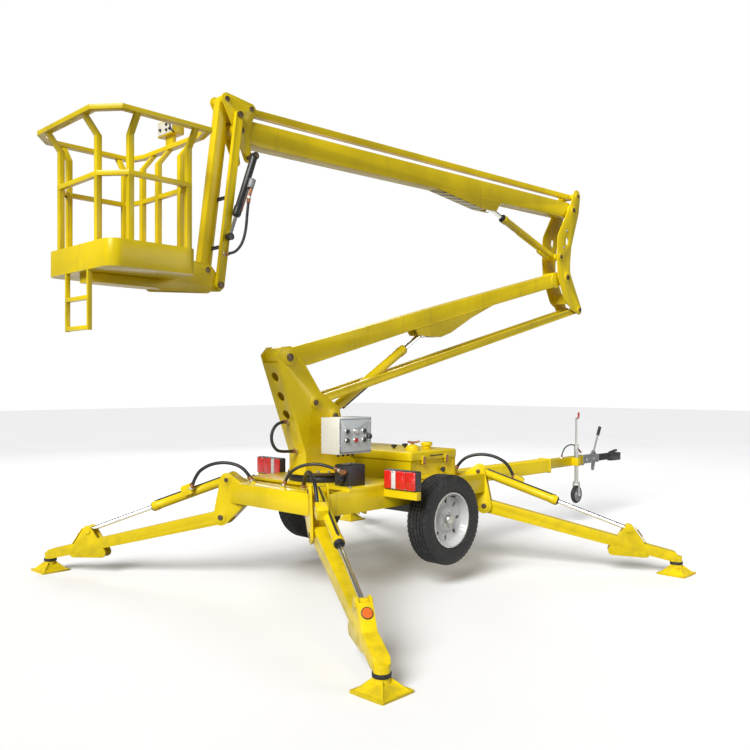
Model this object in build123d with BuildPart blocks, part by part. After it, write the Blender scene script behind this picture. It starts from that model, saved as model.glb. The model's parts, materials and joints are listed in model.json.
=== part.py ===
from build123d import *
from math import cos, hypot, radians, sin, tan
import os

os.makedirs("parts", exist_ok=True)

# Towable articulated boom lift, standing on its four outrigger pads, millimetres
# X runs forward to the tow coupler, Y to the left, Z up, the ground is Z = 0

# Driving places
pad_mid_x = -999.27
slew_x = pad_mid_x - 400.0
axle_x = pad_mid_x + 150.0

# Fits and clearances
pin_fit = 0.1
rod_fit = 0.5
side_gap = 2.0
seat_gap = 0.3

# Chassis beams
beam_height = 160.0
beam_width = 80.0
beam_top = 800.0
beam_y = 570.0
chassis_rear_x = pad_mid_x - 990.0
chassis_front_x = pad_mid_x + 950.0
deck_thick = 20.0
beam_mid_z = beam_top - beam_height / 2
beam_bottom = beam_top - beam_height

# Power pack housing
pack_rear_x = pad_mid_x + 70.0
pack_front_x = pad_mid_x + 650.0
pack_top_z = 1030.0
pack_half_y = 500.0

# Slewing bearing and turntable
ring_radius = 290.0
ring_height = 55.0
table_radius = 300.0
table_thick = 22.0
ring_base_z = beam_top + deck_thick
table_base_z = ring_base_z + ring_height + seat_gap
table_top_z = table_base_z + table_thick

# Tower and lower boom
tower_pin = (slew_x - 457.0, 1782.0)
tower_inner = 88.0
tower_outer = 100.0
lower_length = 4148.0
lower_rise = 13.85
lower_half_width = 62.0
link_step = (260.0, -345.0)

# Elbow, given from the lower boom's pin
elbow_inner = 88.0
elbow_outer = 100.0
upper_pin_step = (130.0, 770.0)
rod_pin_step = (86.0, 172.0)
upper_foot_step = (-140.0, 215.0)

# Upper boom
upper_length = 4582.0
upper_drop = 1.75
upper_half_width = 60.0
upper_height = 174.0

# Head link and hanging jib, given from the upper boom's head pin
head_inner = 64.0
head_outer = 76.0
jib_pin_step = (-40.0, 95.0)
jib_tie_step = (-125.0, 195.0)
jib_vector = (-165.0, -1230.0)
jib_bar_inner = 80.0
jib_bar_outer = 110.0
jib_depth = 62.0
jib_tie_depth = 70.0
jib_tie_half_width = 35.0

# Slots that take the rod eyes of the boom cylinders
lower_eye_slot = 40.0
upper_eye_slot = 40.0

# Basket
basket_front = 300.0
basket_depth = 610.0
basket_width = 840.0
basket_floor_drop = 98.0
basket_corner = 80.0
toe_height = 165.0
mid_rail_rise = 548.0
top_rail_rise = 905.0
post_bend_rise = 790.0
basket_flare = 90.0
rail_size = 30.0
post_size = 35.0

# Outrigger legs, one plane per corner
leg_pivot_x = 975.0
leg_pivot_y = 570.0
leg_pivot_z = 520.0
leg_yaw = 59.5
leg_reach = 1590.0
leg_depth = 110.0
leg_width = 92.0
leg_foot_z = 118.0
bracket_inner = 55.0
bracket_outer = 67.0
leg_tube_radius = 36.0
leg_rod_radius = 18.0
leg_rod_shown = 630.0
leg_base_pin = (-50.0, 300.0)
leg_eye_pin = (1210.0, -160.0)

# Wheels
tyre_diameter = 700.0
tyre_width = 200.0
rim_radius = 215.0
wheel_y = 780.0
wheel_z = 520.0
spindle_radius = 22.0

# Hoses: their thickness, and where the leg hoses pass beside the leg cylinders
leg_hose = 28.0
leg_hose_aside = 66.0
valve_swing = 310.0
deck_hose = 24.0
jib_hose = 20.0
brake_cable = 14.0


def moved(point, step):
    return (point[0] + step[0], point[1] + step[1])


def polar(point, angle, length):
    return (point[0] + length * cos(radians(angle)), point[1] + length * sin(radians(angle)))


def line_plane(start, end):
    """A plane in the machine's middle whose X runs from start to end and whose Y looks up."""
    return Plane(origin=(start[0], 0, start[1]), x_dir=(end[0] - start[0], 0, end[1] - start[1]), z_dir=(0, -1, 0))


def gap(start, end):
    return hypot(end[0] - start[0], end[1] - start[1])


def hull(plane, discs):
    """The outline around discs, each an x, a y and a radius in the plane."""
    with BuildSketch(plane) as outline:
        for x, y, radius in discs:
            with Locations((x, y)):
                Circle(radius)
        make_hull()
    return outline.sketch


def outline_of(plane, points):
    with BuildSketch(plane) as outline:
        with BuildLine():
            Polyline(*points, close=True)
        make_face()
    return outline.sketch


def pin_at(plane, point, radius, half_length, mode=Mode.ADD):
    """A round pin, or its bore, square to the plane at a point of it."""
    with BuildSketch(plane) as disc:
        with Locations(point):
            Circle(radius)
    extrude(disc.sketch, amount=half_length, both=True, mode=mode)


def slot_between(plane, corner_a, corner_b, half_width):
    """Clears the room between two plates."""
    points = [corner_a, (corner_b[0], corner_a[1]), corner_b, (corner_a[0], corner_b[1])]
    extrude(outline_of(plane, points), amount=half_width, both=True, mode=Mode.SUBTRACT)


def band(plane, discs, half_width):
    """A plate of changing width that follows a row of discs."""
    for before, after in zip(discs, discs[1:]):
        extrude(hull(plane, [before, after]), amount=half_width, both=True)


def bar_along(plane, start, length, across, rise, radius):
    """A round bar that runs along the plane's normal, beside its origin."""
    with BuildSketch(plane.offset(start)) as disc:
        with Locations((across, rise)):
            Circle(radius)
    extrude(disc.sketch, amount=length)


def gland(end, beyond, radius, length):
    """The stub that holds a hose by its end and carries on in the hose's line."""
    with BuildSketch(Plane(origin=end, z_dir=Vector(*end) - Vector(*beyond))) as disc:
        Circle(radius)
    extrude(disc.sketch, amount=length)


def keep(builder, name):
    builder.part.label = name
    export_step(builder.part, f"parts/{name}.step")


def free_hose(name, points, thickness, swing=None):
    """A hose of straight runs joined by arcs, each as large as its two runs allow."""
    places = [Vector(*point) for point in points]
    runs = [after - before for before, after in zip(places, places[1:])]
    radii = [
        0.45 * min(run.length, later.length) / tan(radians(run.get_angle(later) / 2))
        for run, later in zip(runs, runs[1:])]
    with BuildPart() as hose:
        with BuildLine() as route:
            FilletPolyline(*places, radius=radii)
        path = route.wires()[0]
        with BuildSketch(Plane(origin=places[0], z_dir=runs[0])) as section:
            Circle(thickness / 2)
        sweep(path=path)
        share = hose.part.volume / (section.sketch.area * path.length)
        if swing:
            pin_at(*swing, mode=Mode.INTERSECT)
    print(name, "arcs", [round(radius) for radius in radii], "length", round(path.length), "filled", round(share, 4))
    keep(hose, name)


# Linkage points worked out from the driving places
side = Plane.XZ
elbow_pin = polar(tower_pin, lower_rise, lower_length)
tie_foot = moved(tower_pin, link_step)
tie_head = moved(elbow_pin, link_step)
upper_pin = moved(elbow_pin, upper_pin_step)
rod_pin = moved(upper_pin, rod_pin_step)
upper_foot = moved(elbow_pin, upper_foot_step)
head_pin = polar(upper_pin, 180 + upper_drop, upper_length)
head_rod_pin = moved(head_pin, rod_pin_step)
jib_pin = moved(head_pin, jib_pin_step)
jib_tie_pin = moved(head_pin, jib_tie_step)
jib_end = moved(jib_pin, jib_vector)
jib_tie_end = moved(jib_tie_pin, jib_vector)
lower_plane = line_plane(tower_pin, elbow_pin)
upper_plane = line_plane(head_pin, upper_pin)

# Cylinder pins: on the lower boom, on the upper boom and beside the jib
lower_cyl_foot = (slew_x + 10.0, 1330.0)
lower_cyl_reach = (1642.0, -147.0)
upper_cyl_back = 1467.0
upper_cyl_reach = (upper_length - upper_cyl_back, -150.0)
jib_cyl_foot = moved(jib_pin, (95.0, -285.0))
jib_cyl_down = 900.0
jib_cyl_y = -150.0


def from_plane(plane, point):
    place = plane.from_local_coords((point[0], point[1], 0))
    return (place.X, place.Z)


lower_cyl_eye = from_plane(lower_plane, lower_cyl_reach)
upper_cyl_eye = from_plane(upper_plane, upper_cyl_reach)
jib_plane = line_plane(jib_end, jib_pin)
jib_length = gap(jib_end, jib_pin)
jib_cyl_eye = from_plane(jib_plane, (jib_length - jib_cyl_down, 0))


# One upright plane per corner, its X pointing out along the leg from the leg's pivot
def corner_plane(ahead, hand):
    out = (ahead * cos(radians(leg_yaw)), hand * sin(radians(leg_yaw)), 0)
    pivot = (pad_mid_x + ahead * leg_pivot_x, hand * leg_pivot_y, leg_pivot_z)
    return Plane(origin=pivot, x_dir=out, z_dir=(out[1], -out[0], 0))


corners = (("front_left", 1, 1), ("front_right", 1, -1), ("rear_left", -1, 1), ("rear_right", -1, -1))
slot_back = -100.0
past_all = 600.0

# Hose routes: over each leg bracket, across the deck, out of the tower's rear plate, down the jib, along the drawbar
leg_hose_route = [(-262, 306), (-214, 382), (-121, 430), (-1, 440), (115, 411), (213, 342), (262, 205)]


def leg_hose_points(ahead, hand):
    beside = corner_plane(ahead, hand).offset(ahead * hand * leg_hose_aside)
    return [tuple(beside.from_local_coords((x, y, 0))) for x, y in leg_hose_route]


valve_box_x = slew_x - 160.0
valve_box_y = -450.0
deck_hose_start = (pad_mid_x - 900.0, -90.0)
deck_hose_end = (valve_box_x - 100.0, valve_box_y + 25.0)
deck_hose_heights = [(0.0, 826), (0.07, 900), (0.26, 960), (0.51, 984), (0.78, 975), (1.0, 940)]
deck_hose_route = [
    (deck_hose_start[0] + share * (deck_hose_end[0] - deck_hose_start[0]),
     deck_hose_start[1] + share * (deck_hose_end[1] - deck_hose_start[1]), z)
    for share, z in deck_hose_heights]
tower_hose_route = [
    (slew_x - 402, 0, 1290), (slew_x - 464, 0, 1290), (slew_x - 517, 0, 1259), (slew_x - 548, 0, 1206),
    (slew_x - 548, 0, 1144), (slew_x - 517, 0, 1091), (slew_x - 464, 0, 1060), (slew_x - 318, 0, 1060)]
jib_hose_route = [
    (pad_mid_x - 1312, -201, 2885), (pad_mid_x - 1325, -201, 2790), (pad_mid_x - 1336, -202, 2670),
    (pad_mid_x - 1362, -198, 2570), (pad_mid_x - 1402, -180, 2508), (pad_mid_x - 1436, -150, 2491),
    (pad_mid_x - 1448, -116, 2491)]
brake_cable_route = [
    (pad_mid_x + 3165, -30, 758), (pad_mid_x + 3185, -30, 820), (pad_mid_x + 3245, -32, 872),
    (pad_mid_x + 3330, -34, 893), (pad_mid_x + 3420, -36, 887), (pad_mid_x + 3500, -38, 855),
    (pad_mid_x + 3560, -40, 800)]

# Chassis: two side beams, cross beams and the deck below the slewing bearing
chassis_length = chassis_front_x - chassis_rear_x
chassis_mid_x = (chassis_front_x + chassis_rear_x) / 2
deck_length = 640.0
rear_beam = 190.0
front_beam = 120.0
with BuildPart() as chassis:
    with Locations((chassis_mid_x, beam_y, beam_mid_z), (chassis_mid_x, -beam_y, beam_mid_z)):
        Box(chassis_length, beam_width, beam_height)
    inner_width = 2 * beam_y - beam_width
    for beam_x, beam_size in ((chassis_rear_x + rear_beam / 2, rear_beam), (chassis_front_x - front_beam / 2, front_beam)):
        with Locations((beam_x, 0, beam_mid_z)):
            Box(beam_size, inner_width, beam_height)
    for beam_x in (slew_x - 250, slew_x + 250, pack_rear_x + 40, pack_front_x - 40):
        with Locations((beam_x, 0, beam_mid_z)):
            Box(80, inner_width, beam_height)
    with Locations((slew_x, 0, beam_top + deck_thick / 2)):
        Box(deck_length, 2 * beam_y + beam_width, deck_thick)
    for corner, ahead, hand in corners:
        slot_between(corner_plane(ahead, hand), (slot_back, -past_all), (past_all, past_all), bracket_inner)
        route = leg_hose_points(ahead, hand)
        gland(route[0], route[1], leg_hose / 2 + 6, 45)
    gland(deck_hose_route[0], deck_hose_route[1], deck_hose / 2 + 5, 40)
keep(chassis, "chassis_frame")

# Axle: a cross tube under the beams, trailing arms and wheel spindles
axle_tube = 70.0
axle_back = 150.0
arm_inner_y = 615.0
arm_thick = 40.0
spindle_end_y = 842.0
with BuildPart() as axle:
    tube_mid_z = beam_bottom - axle_tube / 2
    with Locations((axle_x - axle_back, 0, tube_mid_z)):
        Box(axle_tube, 2 * arm_inner_y, axle_tube)
    for hand in (-1, 1):
        arm_plane = Plane.XZ.offset(-hand * (arm_inner_y + arm_thick / 2))
        arm = hull(arm_plane, [(axle_x - axle_back, tube_mid_z, 42), (axle_x, wheel_z, 36)])
        extrude(arm, amount=arm_thick / 2, both=True)
        spindle_length = spindle_end_y - arm_inner_y
        with Locations(Location((axle_x, hand * (arm_inner_y + spindle_length / 2), wheel_z), (90, 0, 0))):
            Cylinder(spindle_radius, spindle_length)
keep(axle, "axle")

# Wheels: tyre on a pressed steel wheel
hub_end = spindle_end_y - wheel_y + side_gap
for hand_name, hand in (("left", 1), ("right", -1)):
    tyre_r = tyre_diameter / 2
    half = tyre_width / 2
    wheel_plane = Plane(origin=(axle_x, hand * wheel_y, wheel_z), x_dir=(0, hand, 0), z_dir=(1, 0, 0))
    spin_axis = Axis((axle_x, hand * wheel_y, wheel_z), (0, hand, 0))
    bead_r = rim_radius + seat_gap
    with BuildPart() as tyre:
        with BuildSketch(wheel_plane):
            with BuildLine():
                Polyline((-half * 0.72, bead_r), (-half, bead_r + 55), (-half * 0.94, tyre_r - 30), (-half * 0.72, tyre_r - 4))
                Line((-half * 0.72, tyre_r - 4), (-half * 0.3, tyre_r))
                Line((-half * 0.3, tyre_r), (half * 0.3, tyre_r))
                Line((half * 0.3, tyre_r), (half * 0.72, tyre_r - 4))
                Polyline((half * 0.72, tyre_r - 4), (half * 0.94, tyre_r - 30), (half, bead_r + 55), (half * 0.72, bead_r))
                Line((half * 0.72, bead_r), (-half * 0.72, bead_r))
            make_face()
        revolve(axis=spin_axis)
    keep(tyre, f"tyre_{hand_name}")
    with BuildPart() as rim:
        with BuildSketch(wheel_plane):
            with BuildLine():
                Polyline(
                    (-84, rim_radius), (-84, rim_radius - 12), (6, rim_radius - 30), (6, 70), (-40, 60),
                    (-40, spindle_radius + pin_fit), (hub_end, spindle_radius + pin_fit), (hub_end, 0),
                    (hub_end + 8, 0), (hub_end + 8, 30), (hub_end - 4, 38), (36, 40), (36, 84), (18, 110),
                    (18, rim_radius - 30), (84, rim_radius - 12), (84, rim_radius), close=True)
            make_face()
        revolve(axis=spin_axis)
        hole_plane = Plane(origin=(axle_x, hand * wheel_y, wheel_z), x_dir=(1, 0, 0), z_dir=(0, hand, 0))
        with BuildSketch(hole_plane):
            with PolarLocations(148, 8):
                SlotOverall(46, 26)
        extrude(amount=60, both=True, mode=Mode.SUBTRACT)
        with BuildSketch(hole_plane.offset(36)):
            with PolarLocations(62, 5):
                RegularPolygon(11, 6)
        extrude(amount=14)
    keep(rim, f"wheel_{hand_name}")

# Drawbar: thick rolled tube from the front beam, thinner tube ahead of it and an end flange
root_size = 140.0
nose_size = 100.0
tube_corner = 10.0
root_end_x = pad_mid_x + 2870.0
nose_end_x = pad_mid_x + 3600.0
drawbar_z = 690.0
nose_z = drawbar_z + 10.0
flange_thick = 14.0
with BuildPart() as drawbar:
    for start_x, end_x, size, mid_z in (
            (chassis_front_x, root_end_x, root_size, drawbar_z), (root_end_x, nose_end_x, nose_size, nose_z)):
        with BuildSketch(Plane(origin=(start_x, 0, mid_z), x_dir=(0, 1, 0), z_dir=(1, 0, 0))):
            RectangleRounded(size, size, tube_corner)
        extrude(amount=end_x - start_x)
    with Locations((root_end_x - flange_thick / 2, 0, drawbar_z)):
        Box(flange_thick, root_size + 16, root_size + 16)
    for hand in (-1, 1):
        web = [(chassis_front_x, hand * 60), (chassis_front_x, hand * 260), (chassis_front_x + 420, hand * 60)]
        extrude(outline_of(Plane.XY.offset(drawbar_z - 5), web), amount=10)
    gland(brake_cable_route[0], brake_cable_route[1], brake_cable / 2 + 5, 16)
keep(drawbar, "drawbar")

# Overrun coupler: cast body with its brake lugs, ribbed bellows, and the ball head with its latch
cup_x = pad_mid_x + 4520.0
ball_radius = 25.5
cup_wall_base = 643.0
cup_wall_top = 685.0
body_end_x = pad_mid_x + 4000.0
bellows_end_x = pad_mid_x + 4300.0
head_radius = 48.0
neck_radius = 32.0
bellows_ribs = 5
with BuildPart() as coupler:
    with BuildSketch(Plane(origin=(nose_end_x, 0, nose_z), x_dir=(0, 1, 0), z_dir=(1, 0, 0))):
        RectangleRounded(84, 96, 16)
    extrude(amount=body_end_x - nose_end_x)
    with Locations((nose_end_x + flange_thick / 2, 0, nose_z)):
        Box(flange_thick, nose_size + 20, nose_size + 20)
    lug_discs = [(body_end_x - 60, nose_z - 20, 30), (body_end_x - 80, nose_z - 128, 16)]
    extrude(hull(Plane.XZ, lug_discs), amount=12, both=True)
    with Locations(Location(((body_end_x + cup_x) / 2 - 40, 0, nose_z), (0, 90, 0))):
        Cylinder(neck_radius, cup_x - body_end_x - 80)
    rib_pitch = (bellows_end_x - body_end_x) / bellows_ribs
    for rib in range(bellows_ribs):
        with Locations(Location((body_end_x + rib_pitch * (rib + 0.5), 0, nose_z), (0, 90, 0))):
            Cylinder(neck_radius + 9, rib_pitch * 0.6)
    head_plane = Plane.XY.offset(cup_wall_base)
    extrude(hull(head_plane, [(cup_x, 0, head_radius), (bellows_end_x + 60, 0, neck_radius + 6)]), amount=90)
    latch_discs = [(bellows_end_x + 40, cup_wall_base + 96, 12), (cup_x - 20, cup_wall_base + 118, 12)]
    extrude(hull(Plane.XZ, latch_discs), amount=15, both=True)
    with Locations((cup_x, 0, cup_wall_top - 45)):
        Cylinder(ball_radius, 90, mode=Mode.SUBTRACT)
keep(coupler, "coupler")

# Jockey wheel: clamp, tube with its winding handle, turning fork and small wheel
jockey_x = pad_mid_x + 3380.0
jockey_y = -(nose_size / 2 + 42)
jockey_tube_radius = 24.0
jockey_top_z = 900.0
jockey_fork_z = 470.0
jockey_wheel_z = 330.0
jockey_r = 100.0
jockey_pin = 8.0
with BuildPart() as jockey_clamp:
    with Locations((jockey_x, -(nose_size / 2 + 40), nose_z)):
        Box(70, 80, 90)
    with Locations((jockey_x, jockey_y, nose_z)):
        Cylinder(jockey_tube_radius + rod_fit, 120, mode=Mode.SUBTRACT)
    clamp_corners = jockey_clamp.edges().filter_by(Axis.Z).group_by(Axis.Y)[0]
    fillet(clamp_corners, 14)
    with Locations(Location((jockey_x + 62, jockey_y - 10, nose_z), (0, 90, 0))):
        Cylinder(7, 60)
keep(jockey_clamp, "jockey_clamp")
with BuildPart() as jockey_tube:
    with Locations((jockey_x, jockey_y, (jockey_fork_z + jockey_top_z) / 2)):
        Cylinder(jockey_tube_radius, jockey_top_z - jockey_fork_z)
    with Locations((jockey_x, jockey_y, jockey_top_z + 140)):
        Cylinder(11, 300)
    handle_plane = Plane.XZ.offset(-jockey_y)
    arm_discs = [(jockey_x, jockey_top_z + 285, 12), (jockey_x + 52, jockey_top_z + 300, 10)]
    extrude(hull(handle_plane, arm_discs), amount=7, both=True)
    with Locations((jockey_x + 52, jockey_y, jockey_top_z + 330)):
        Cylinder(11, 60)
        fillet(jockey_tube.edges().group_by(Axis.Z)[-1], 8)
keep(jockey_tube, "jockey_tube")
with BuildPart() as jockey_fork:
    fork_top = jockey_fork_z - seat_gap
    with Locations((jockey_x, jockey_y, fork_top - 10)):
        Cylinder(38, 20)
    for hand in (-1, 1):
        cheek_plane = Plane.XZ.offset(-(jockey_y + hand * 34))
        cheek_discs = [(jockey_x, jockey_wheel_z, 20), (jockey_x, fork_top - 20, 14)]
        extrude(hull(cheek_plane, cheek_discs), amount=4, both=True)
    with Locations((jockey_x, jockey_y, fork_top - 16)):
        Box(28, 76, 12)
    with Locations(Location((jockey_x, jockey_y, jockey_wheel_z), (90, 0, 0))):
        Cylinder(jockey_pin, 84)
keep(jockey_fork, "jockey_fork")
with BuildPart() as jockey_wheel:
    with BuildSketch(Plane(origin=(jockey_x, jockey_y, jockey_wheel_z), x_dir=(0, 1, 0), z_dir=(1, 0, 0))):
        with BuildLine():
            Polyline(
                (-24, jockey_pin + pin_fit), (-24, 26), (-9, 34), (-9, 72), (-24, 78), (-20, jockey_r - 8), (-8, jockey_r),
                (8, jockey_r), (20, jockey_r - 8), (24, 78), (9, 72), (9, 34), (24, 26), (24, jockey_pin + pin_fit), close=True)
        make_face()
    revolve(axis=Axis((jockey_x, jockey_y, jockey_wheel_z), (0, 1, 0)))
keep(jockey_wheel, "jockey_wheel")

# Handbrake: ratchet plate beside the coupler body, lever with its grip
lever_x = body_end_x + 25.0
lever_y = 42.0 + 8.0
lever_top = (lever_x + 165.0, 1060.0)
with BuildPart() as handbrake:
    lever_plane = Plane.XZ.offset(-lever_y)
    ratchet_discs = [(lever_x - 60, nose_z, 34), (lever_x, nose_z + 40, 46), (lever_x + 60, nose_z + 10, 20)]
    extrude(hull(lever_plane, ratchet_discs), amount=8, both=True)
    lever_aim = line_plane((lever_x, nose_z + 50), lever_top)
    lever_run = gap((lever_x, nose_z + 50), lever_top)
    grip_plane = Plane(origin=(lever_x, lever_y, nose_z + 50), x_dir=(0, 1, 0), z_dir=lever_aim.x_dir)
    bar_along(grip_plane, 0, lever_run, 0, 0, 11)
    bar_along(grip_plane, lever_run - 110, 110, 0, 0, 17)
    fillet(handbrake.edges().filter_by(GeomType.CIRCLE).sort_by(Axis.Z)[-1], 6)
    gland(brake_cable_route[-1], brake_cable_route[-2], brake_cable / 2 + 5, 10)
keep(handbrake, "handbrake_lever")

# Power pack housing on the front of the chassis, with its lid, sunk side panels and latches
lid_height = 70.0
lid_overhang = 12.0
panel_sink = 8.0
pack_length = pack_front_x - pack_rear_x
pack_mid_x = (pack_rear_x + pack_front_x) / 2
lid_base_z = pack_top_z - lid_height
with BuildPart() as power_pack:
    with Locations((pack_mid_x, 0, (beam_top + lid_base_z) / 2)):
        Box(pack_length, 2 * pack_half_y, lid_base_z - beam_top)
    for hand in (-1, 1):
        with BuildSketch(Plane.XZ.offset(-hand * pack_half_y)):
            with Locations((pack_mid_x, (beam_top + lid_base_z) / 2)):
                RectangleRounded(pack_length - 90, lid_base_z - beam_top - 50, 18)
        extrude(amount=hand * panel_sink, mode=Mode.SUBTRACT)
    with BuildSketch(Plane.XY.offset(lid_base_z)):
        with Locations((pack_mid_x, 0)):
            RectangleRounded(pack_length + 2 * lid_overhang, 2 * (pack_half_y + lid_overhang), 30)
    extrude(amount=lid_height)
    fillet(power_pack.edges().group_by(Axis.Z)[-1], 16)
    for hand in (-1, 1):
        for latch_x in (-pack_length / 4, pack_length / 4):
            with Locations((pack_mid_x + latch_x, hand * (pack_half_y + lid_overhang), lid_base_z)):
                Box(34, 20, 60)
keep(power_pack, "power_pack")
cap_place = (pack_front_x - 180.0, -330.0)
with BuildPart() as pack_cap:
    with BuildSketch(Plane.XY.offset(pack_top_z)):
        with Locations(cap_place):
            Circle(38)
    extrude(amount=26)
    with BuildSketch(Plane.XY.offset(pack_top_z + 26)):
        with Locations(cap_place):
            RegularPolygon(50, 12)
    extrude(amount=32)
    chamfer(pack_cap.edges().group_by(Axis.Z)[-1], 6)
keep(pack_cap, "pack_filler_cap")

# Tail lamps on bars that stand out from the side beams
lamp_x = pad_mid_x - 330.0
lamp_length = 320.0
lamp_height = 150.0
lamp_depth = 60.0
lamp_inner_y = 615.0
lamp_base_z = 790.0
bar_height = 62.0
with BuildPart() as lamp_bracket:
    for hand in (-1, 1):
        bar_end_y = lamp_inner_y + lamp_length
        with BuildSketch(Plane.XZ.offset(-hand * (beam_y + beam_width / 2))):
            with Locations((lamp_x, lamp_base_z - bar_height / 2)):
                RectangleRounded(50, bar_height, 6)
        extrude(amount=-hand * (bar_end_y - beam_y - beam_width / 2))
keep(lamp_bracket, "lamp_bracket")
with BuildPart() as tail_lamps:
    for hand in (-1, 1):
        lamp_y = hand * (lamp_inner_y + lamp_length / 2)
        with BuildSketch(Plane(origin=(lamp_x - lamp_depth / 2, lamp_y, lamp_base_z), x_dir=(0, 1, 0), z_dir=(1, 0, 0))):
            with Locations((0, lamp_height / 2)):
                RectangleRounded(lamp_length, lamp_height, 16)
        extrude(amount=lamp_depth)
keep(tail_lamps, "tail_lamps")

# Valve box beside the slewing bearing, with the gland of the deck hose
valve_box_size = (170.0, 150.0, 160.0)
with BuildPart() as valve_box:
    with Locations((valve_box_x, valve_box_y, ring_base_z + valve_box_size[2] / 2)):
        Box(*valve_box_size)
    chamfer(valve_box.edges().group_by(Axis.Z)[-1], 8)
    gland(deck_hose_route[-1], deck_hose_route[-2], deck_hose / 2 + 5, 60)
keep(valve_box, "valve_box")

# Slewing bearing: fixed ring with a narrower upper race
race_step = 16.0
with BuildPart() as slew_ring:
    with BuildSketch(Plane.XZ):
        with BuildLine():
            Polyline(
                (slew_x + ring_radius - 90, ring_base_z), (slew_x + ring_radius, ring_base_z),
                (slew_x + ring_radius, ring_base_z + ring_height * 0.6),
                (slew_x + ring_radius - race_step, ring_base_z + ring_height * 0.6),
                (slew_x + ring_radius - race_step, ring_base_z + ring_height),
                (slew_x + ring_radius - 90, ring_base_z + ring_height), close=True)
        make_face()
    revolve(axis=Axis((slew_x, 0, 0), (0, 0, 1)))
keep(slew_ring, "slew_ring")

# Tower: turntable plate, two side plates and the holed rear plate
tower_side = [
    (-575, 1800), (-520, 1860), (-440, 1868), (-385, 1820), (-300, 1735), (-140, 1520), (60, 1400), (90, 1290),
    (70, 1060), (240, 960), (240, table_top_z), (-290, table_top_z), (-290, 1040), (-555, 1740)]
tower_points = [(slew_x + x, z) for x, z in tower_side]
rear_thick = 12.0
with BuildPart() as tower:
    with Locations((slew_x, 0, (table_base_z + table_top_z) / 2)):
        Cylinder(table_radius, table_thick)
    extrude(outline_of(side, tower_points), amount=tower_outer, both=True)
    slot_between(side, (slew_x - 900, table_top_z), (slew_x + 900, 2200), tower_inner)
    rear_outline = [
        (slew_x - 290, table_top_z), (slew_x - 290, 1040), (slew_x - 555, 1740), (slew_x - 555 + rear_thick, 1740),
        (slew_x - 290 + rear_thick, 1042), (slew_x - 290 + rear_thick, table_top_z)]
    extrude(outline_of(side, rear_outline), amount=tower_outer, both=True)
    rear_plane = Plane(
        origin=(slew_x - 555, 0, 1740), x_dir=(0, 1, 0), z_dir=(-700, 0, -265))
    with BuildSketch(rear_plane) as rear_holes:
        for down in (115, 275, 425):
            with Locations((0, down), (0, -down)):
                Circle(38)
    extrude(rear_holes.sketch, amount=60, both=True, mode=Mode.SUBTRACT)
    for point, radius, pin_radius in ((tower_pin, 62, 30), (tie_foot, 44, 22), (lower_cyl_foot, 48, 22)):
        pin_at(side, point, radius, tower_outer + 8)
        pin_at(side, point, radius + side_gap, tower_inner, Mode.SUBTRACT)
        pin_at(side, point, pin_radius, tower_outer + 16)
    gland(tower_hose_route[0], tower_hose_route[1], deck_hose / 2 + 5, 24)
    gland(tower_hose_route[-1], tower_hose_route[-2], deck_hose / 2 + 5, 28)
keep(tower, "tower")

# Control box on the right of the tower: cabinet with a door and push buttons
control_x = slew_x - 148.0
control_z = 1195.0
control_size = (345.0, 200.0, 270.0)
control_gap = 200.0
control_y = -(tower_outer + control_gap + control_size[1] / 2)
button_radius = 15.0
with BuildPart() as control_box:
    with Locations((control_x, control_y, control_z)):
        Box(*control_size)
    fillet(control_box.edges().filter_by(Axis.Z), 12)
    door_plane = Plane.XZ.offset(-(control_y - control_size[1] / 2))
    with BuildSketch(door_plane):
        with Locations((control_x, control_z)):
            RectangleRounded(control_size[0] - 30, control_size[2] - 30, 10)
    extrude(amount=6)
    with BuildSketch(door_plane.offset(6)):
        with Locations((control_x - 10, control_z)):
            with GridLocations(88, 68, 3, 2):
                Circle(button_radius)
    extrude(amount=16)
    with BuildSketch(door_plane.offset(6)):
        with Locations((control_x + control_size[0] / 2 - 45, control_z - 10)):
            Circle(button_radius + 5)
    extrude(amount=24)
keep(control_box, "control_box")
with BuildPart() as control_shelf:
    for shelf_z in (control_z - 80, control_z + 60):
        with Locations((control_x + 60, -(tower_outer + control_gap / 2), shelf_z)):
            Box(110, control_gap, 40)
            Box(120, control_gap, 28, mode=Mode.SUBTRACT)
    with Locations((control_x + 60, -(tower_outer + control_gap / 2), control_z - 10)):
        Box(110, control_gap, 12)
keep(control_shelf, "control_bracket")

# Lower boom: tapered box with a deep gusset for its cylinder
eye_x, eye_z = lower_cyl_reach
lower_outline = [
    (-20, 62), (360, 62), (lower_length - 418, 69), (lower_length, 69), (lower_length, -69), (eye_x + 1100, -69),
    (eye_x + 716, -126), (eye_x + 368, -205), (eye_x + 211, -216), (eye_x - 82, -140), (eye_x - 112, -77),
    (230, -107), (-20, -90)]
with BuildPart() as lower_boom:
    extrude(outline_of(lower_plane, lower_outline), amount=lower_half_width, both=True)
    slot_between(lower_plane, (eye_x - 202, eye_z + 109), (eye_x + 148, eye_z - 113), lower_eye_slot)
    pin_at(lower_plane, (0, 0), 82, tower_inner - side_gap)
    pin_at(lower_plane, (lower_length, 0), 70, elbow_inner - side_gap)
    pin_at(lower_plane, (lower_length - 190, 0), 86, lower_half_width + 8)
    pin_at(lower_plane, (0, 0), 30 + pin_fit, past_all, Mode.SUBTRACT)
    pin_at(lower_plane, (lower_length, 0), 30 + pin_fit, past_all, Mode.SUBTRACT)
keep(lower_boom, "lower_boom")

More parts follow.
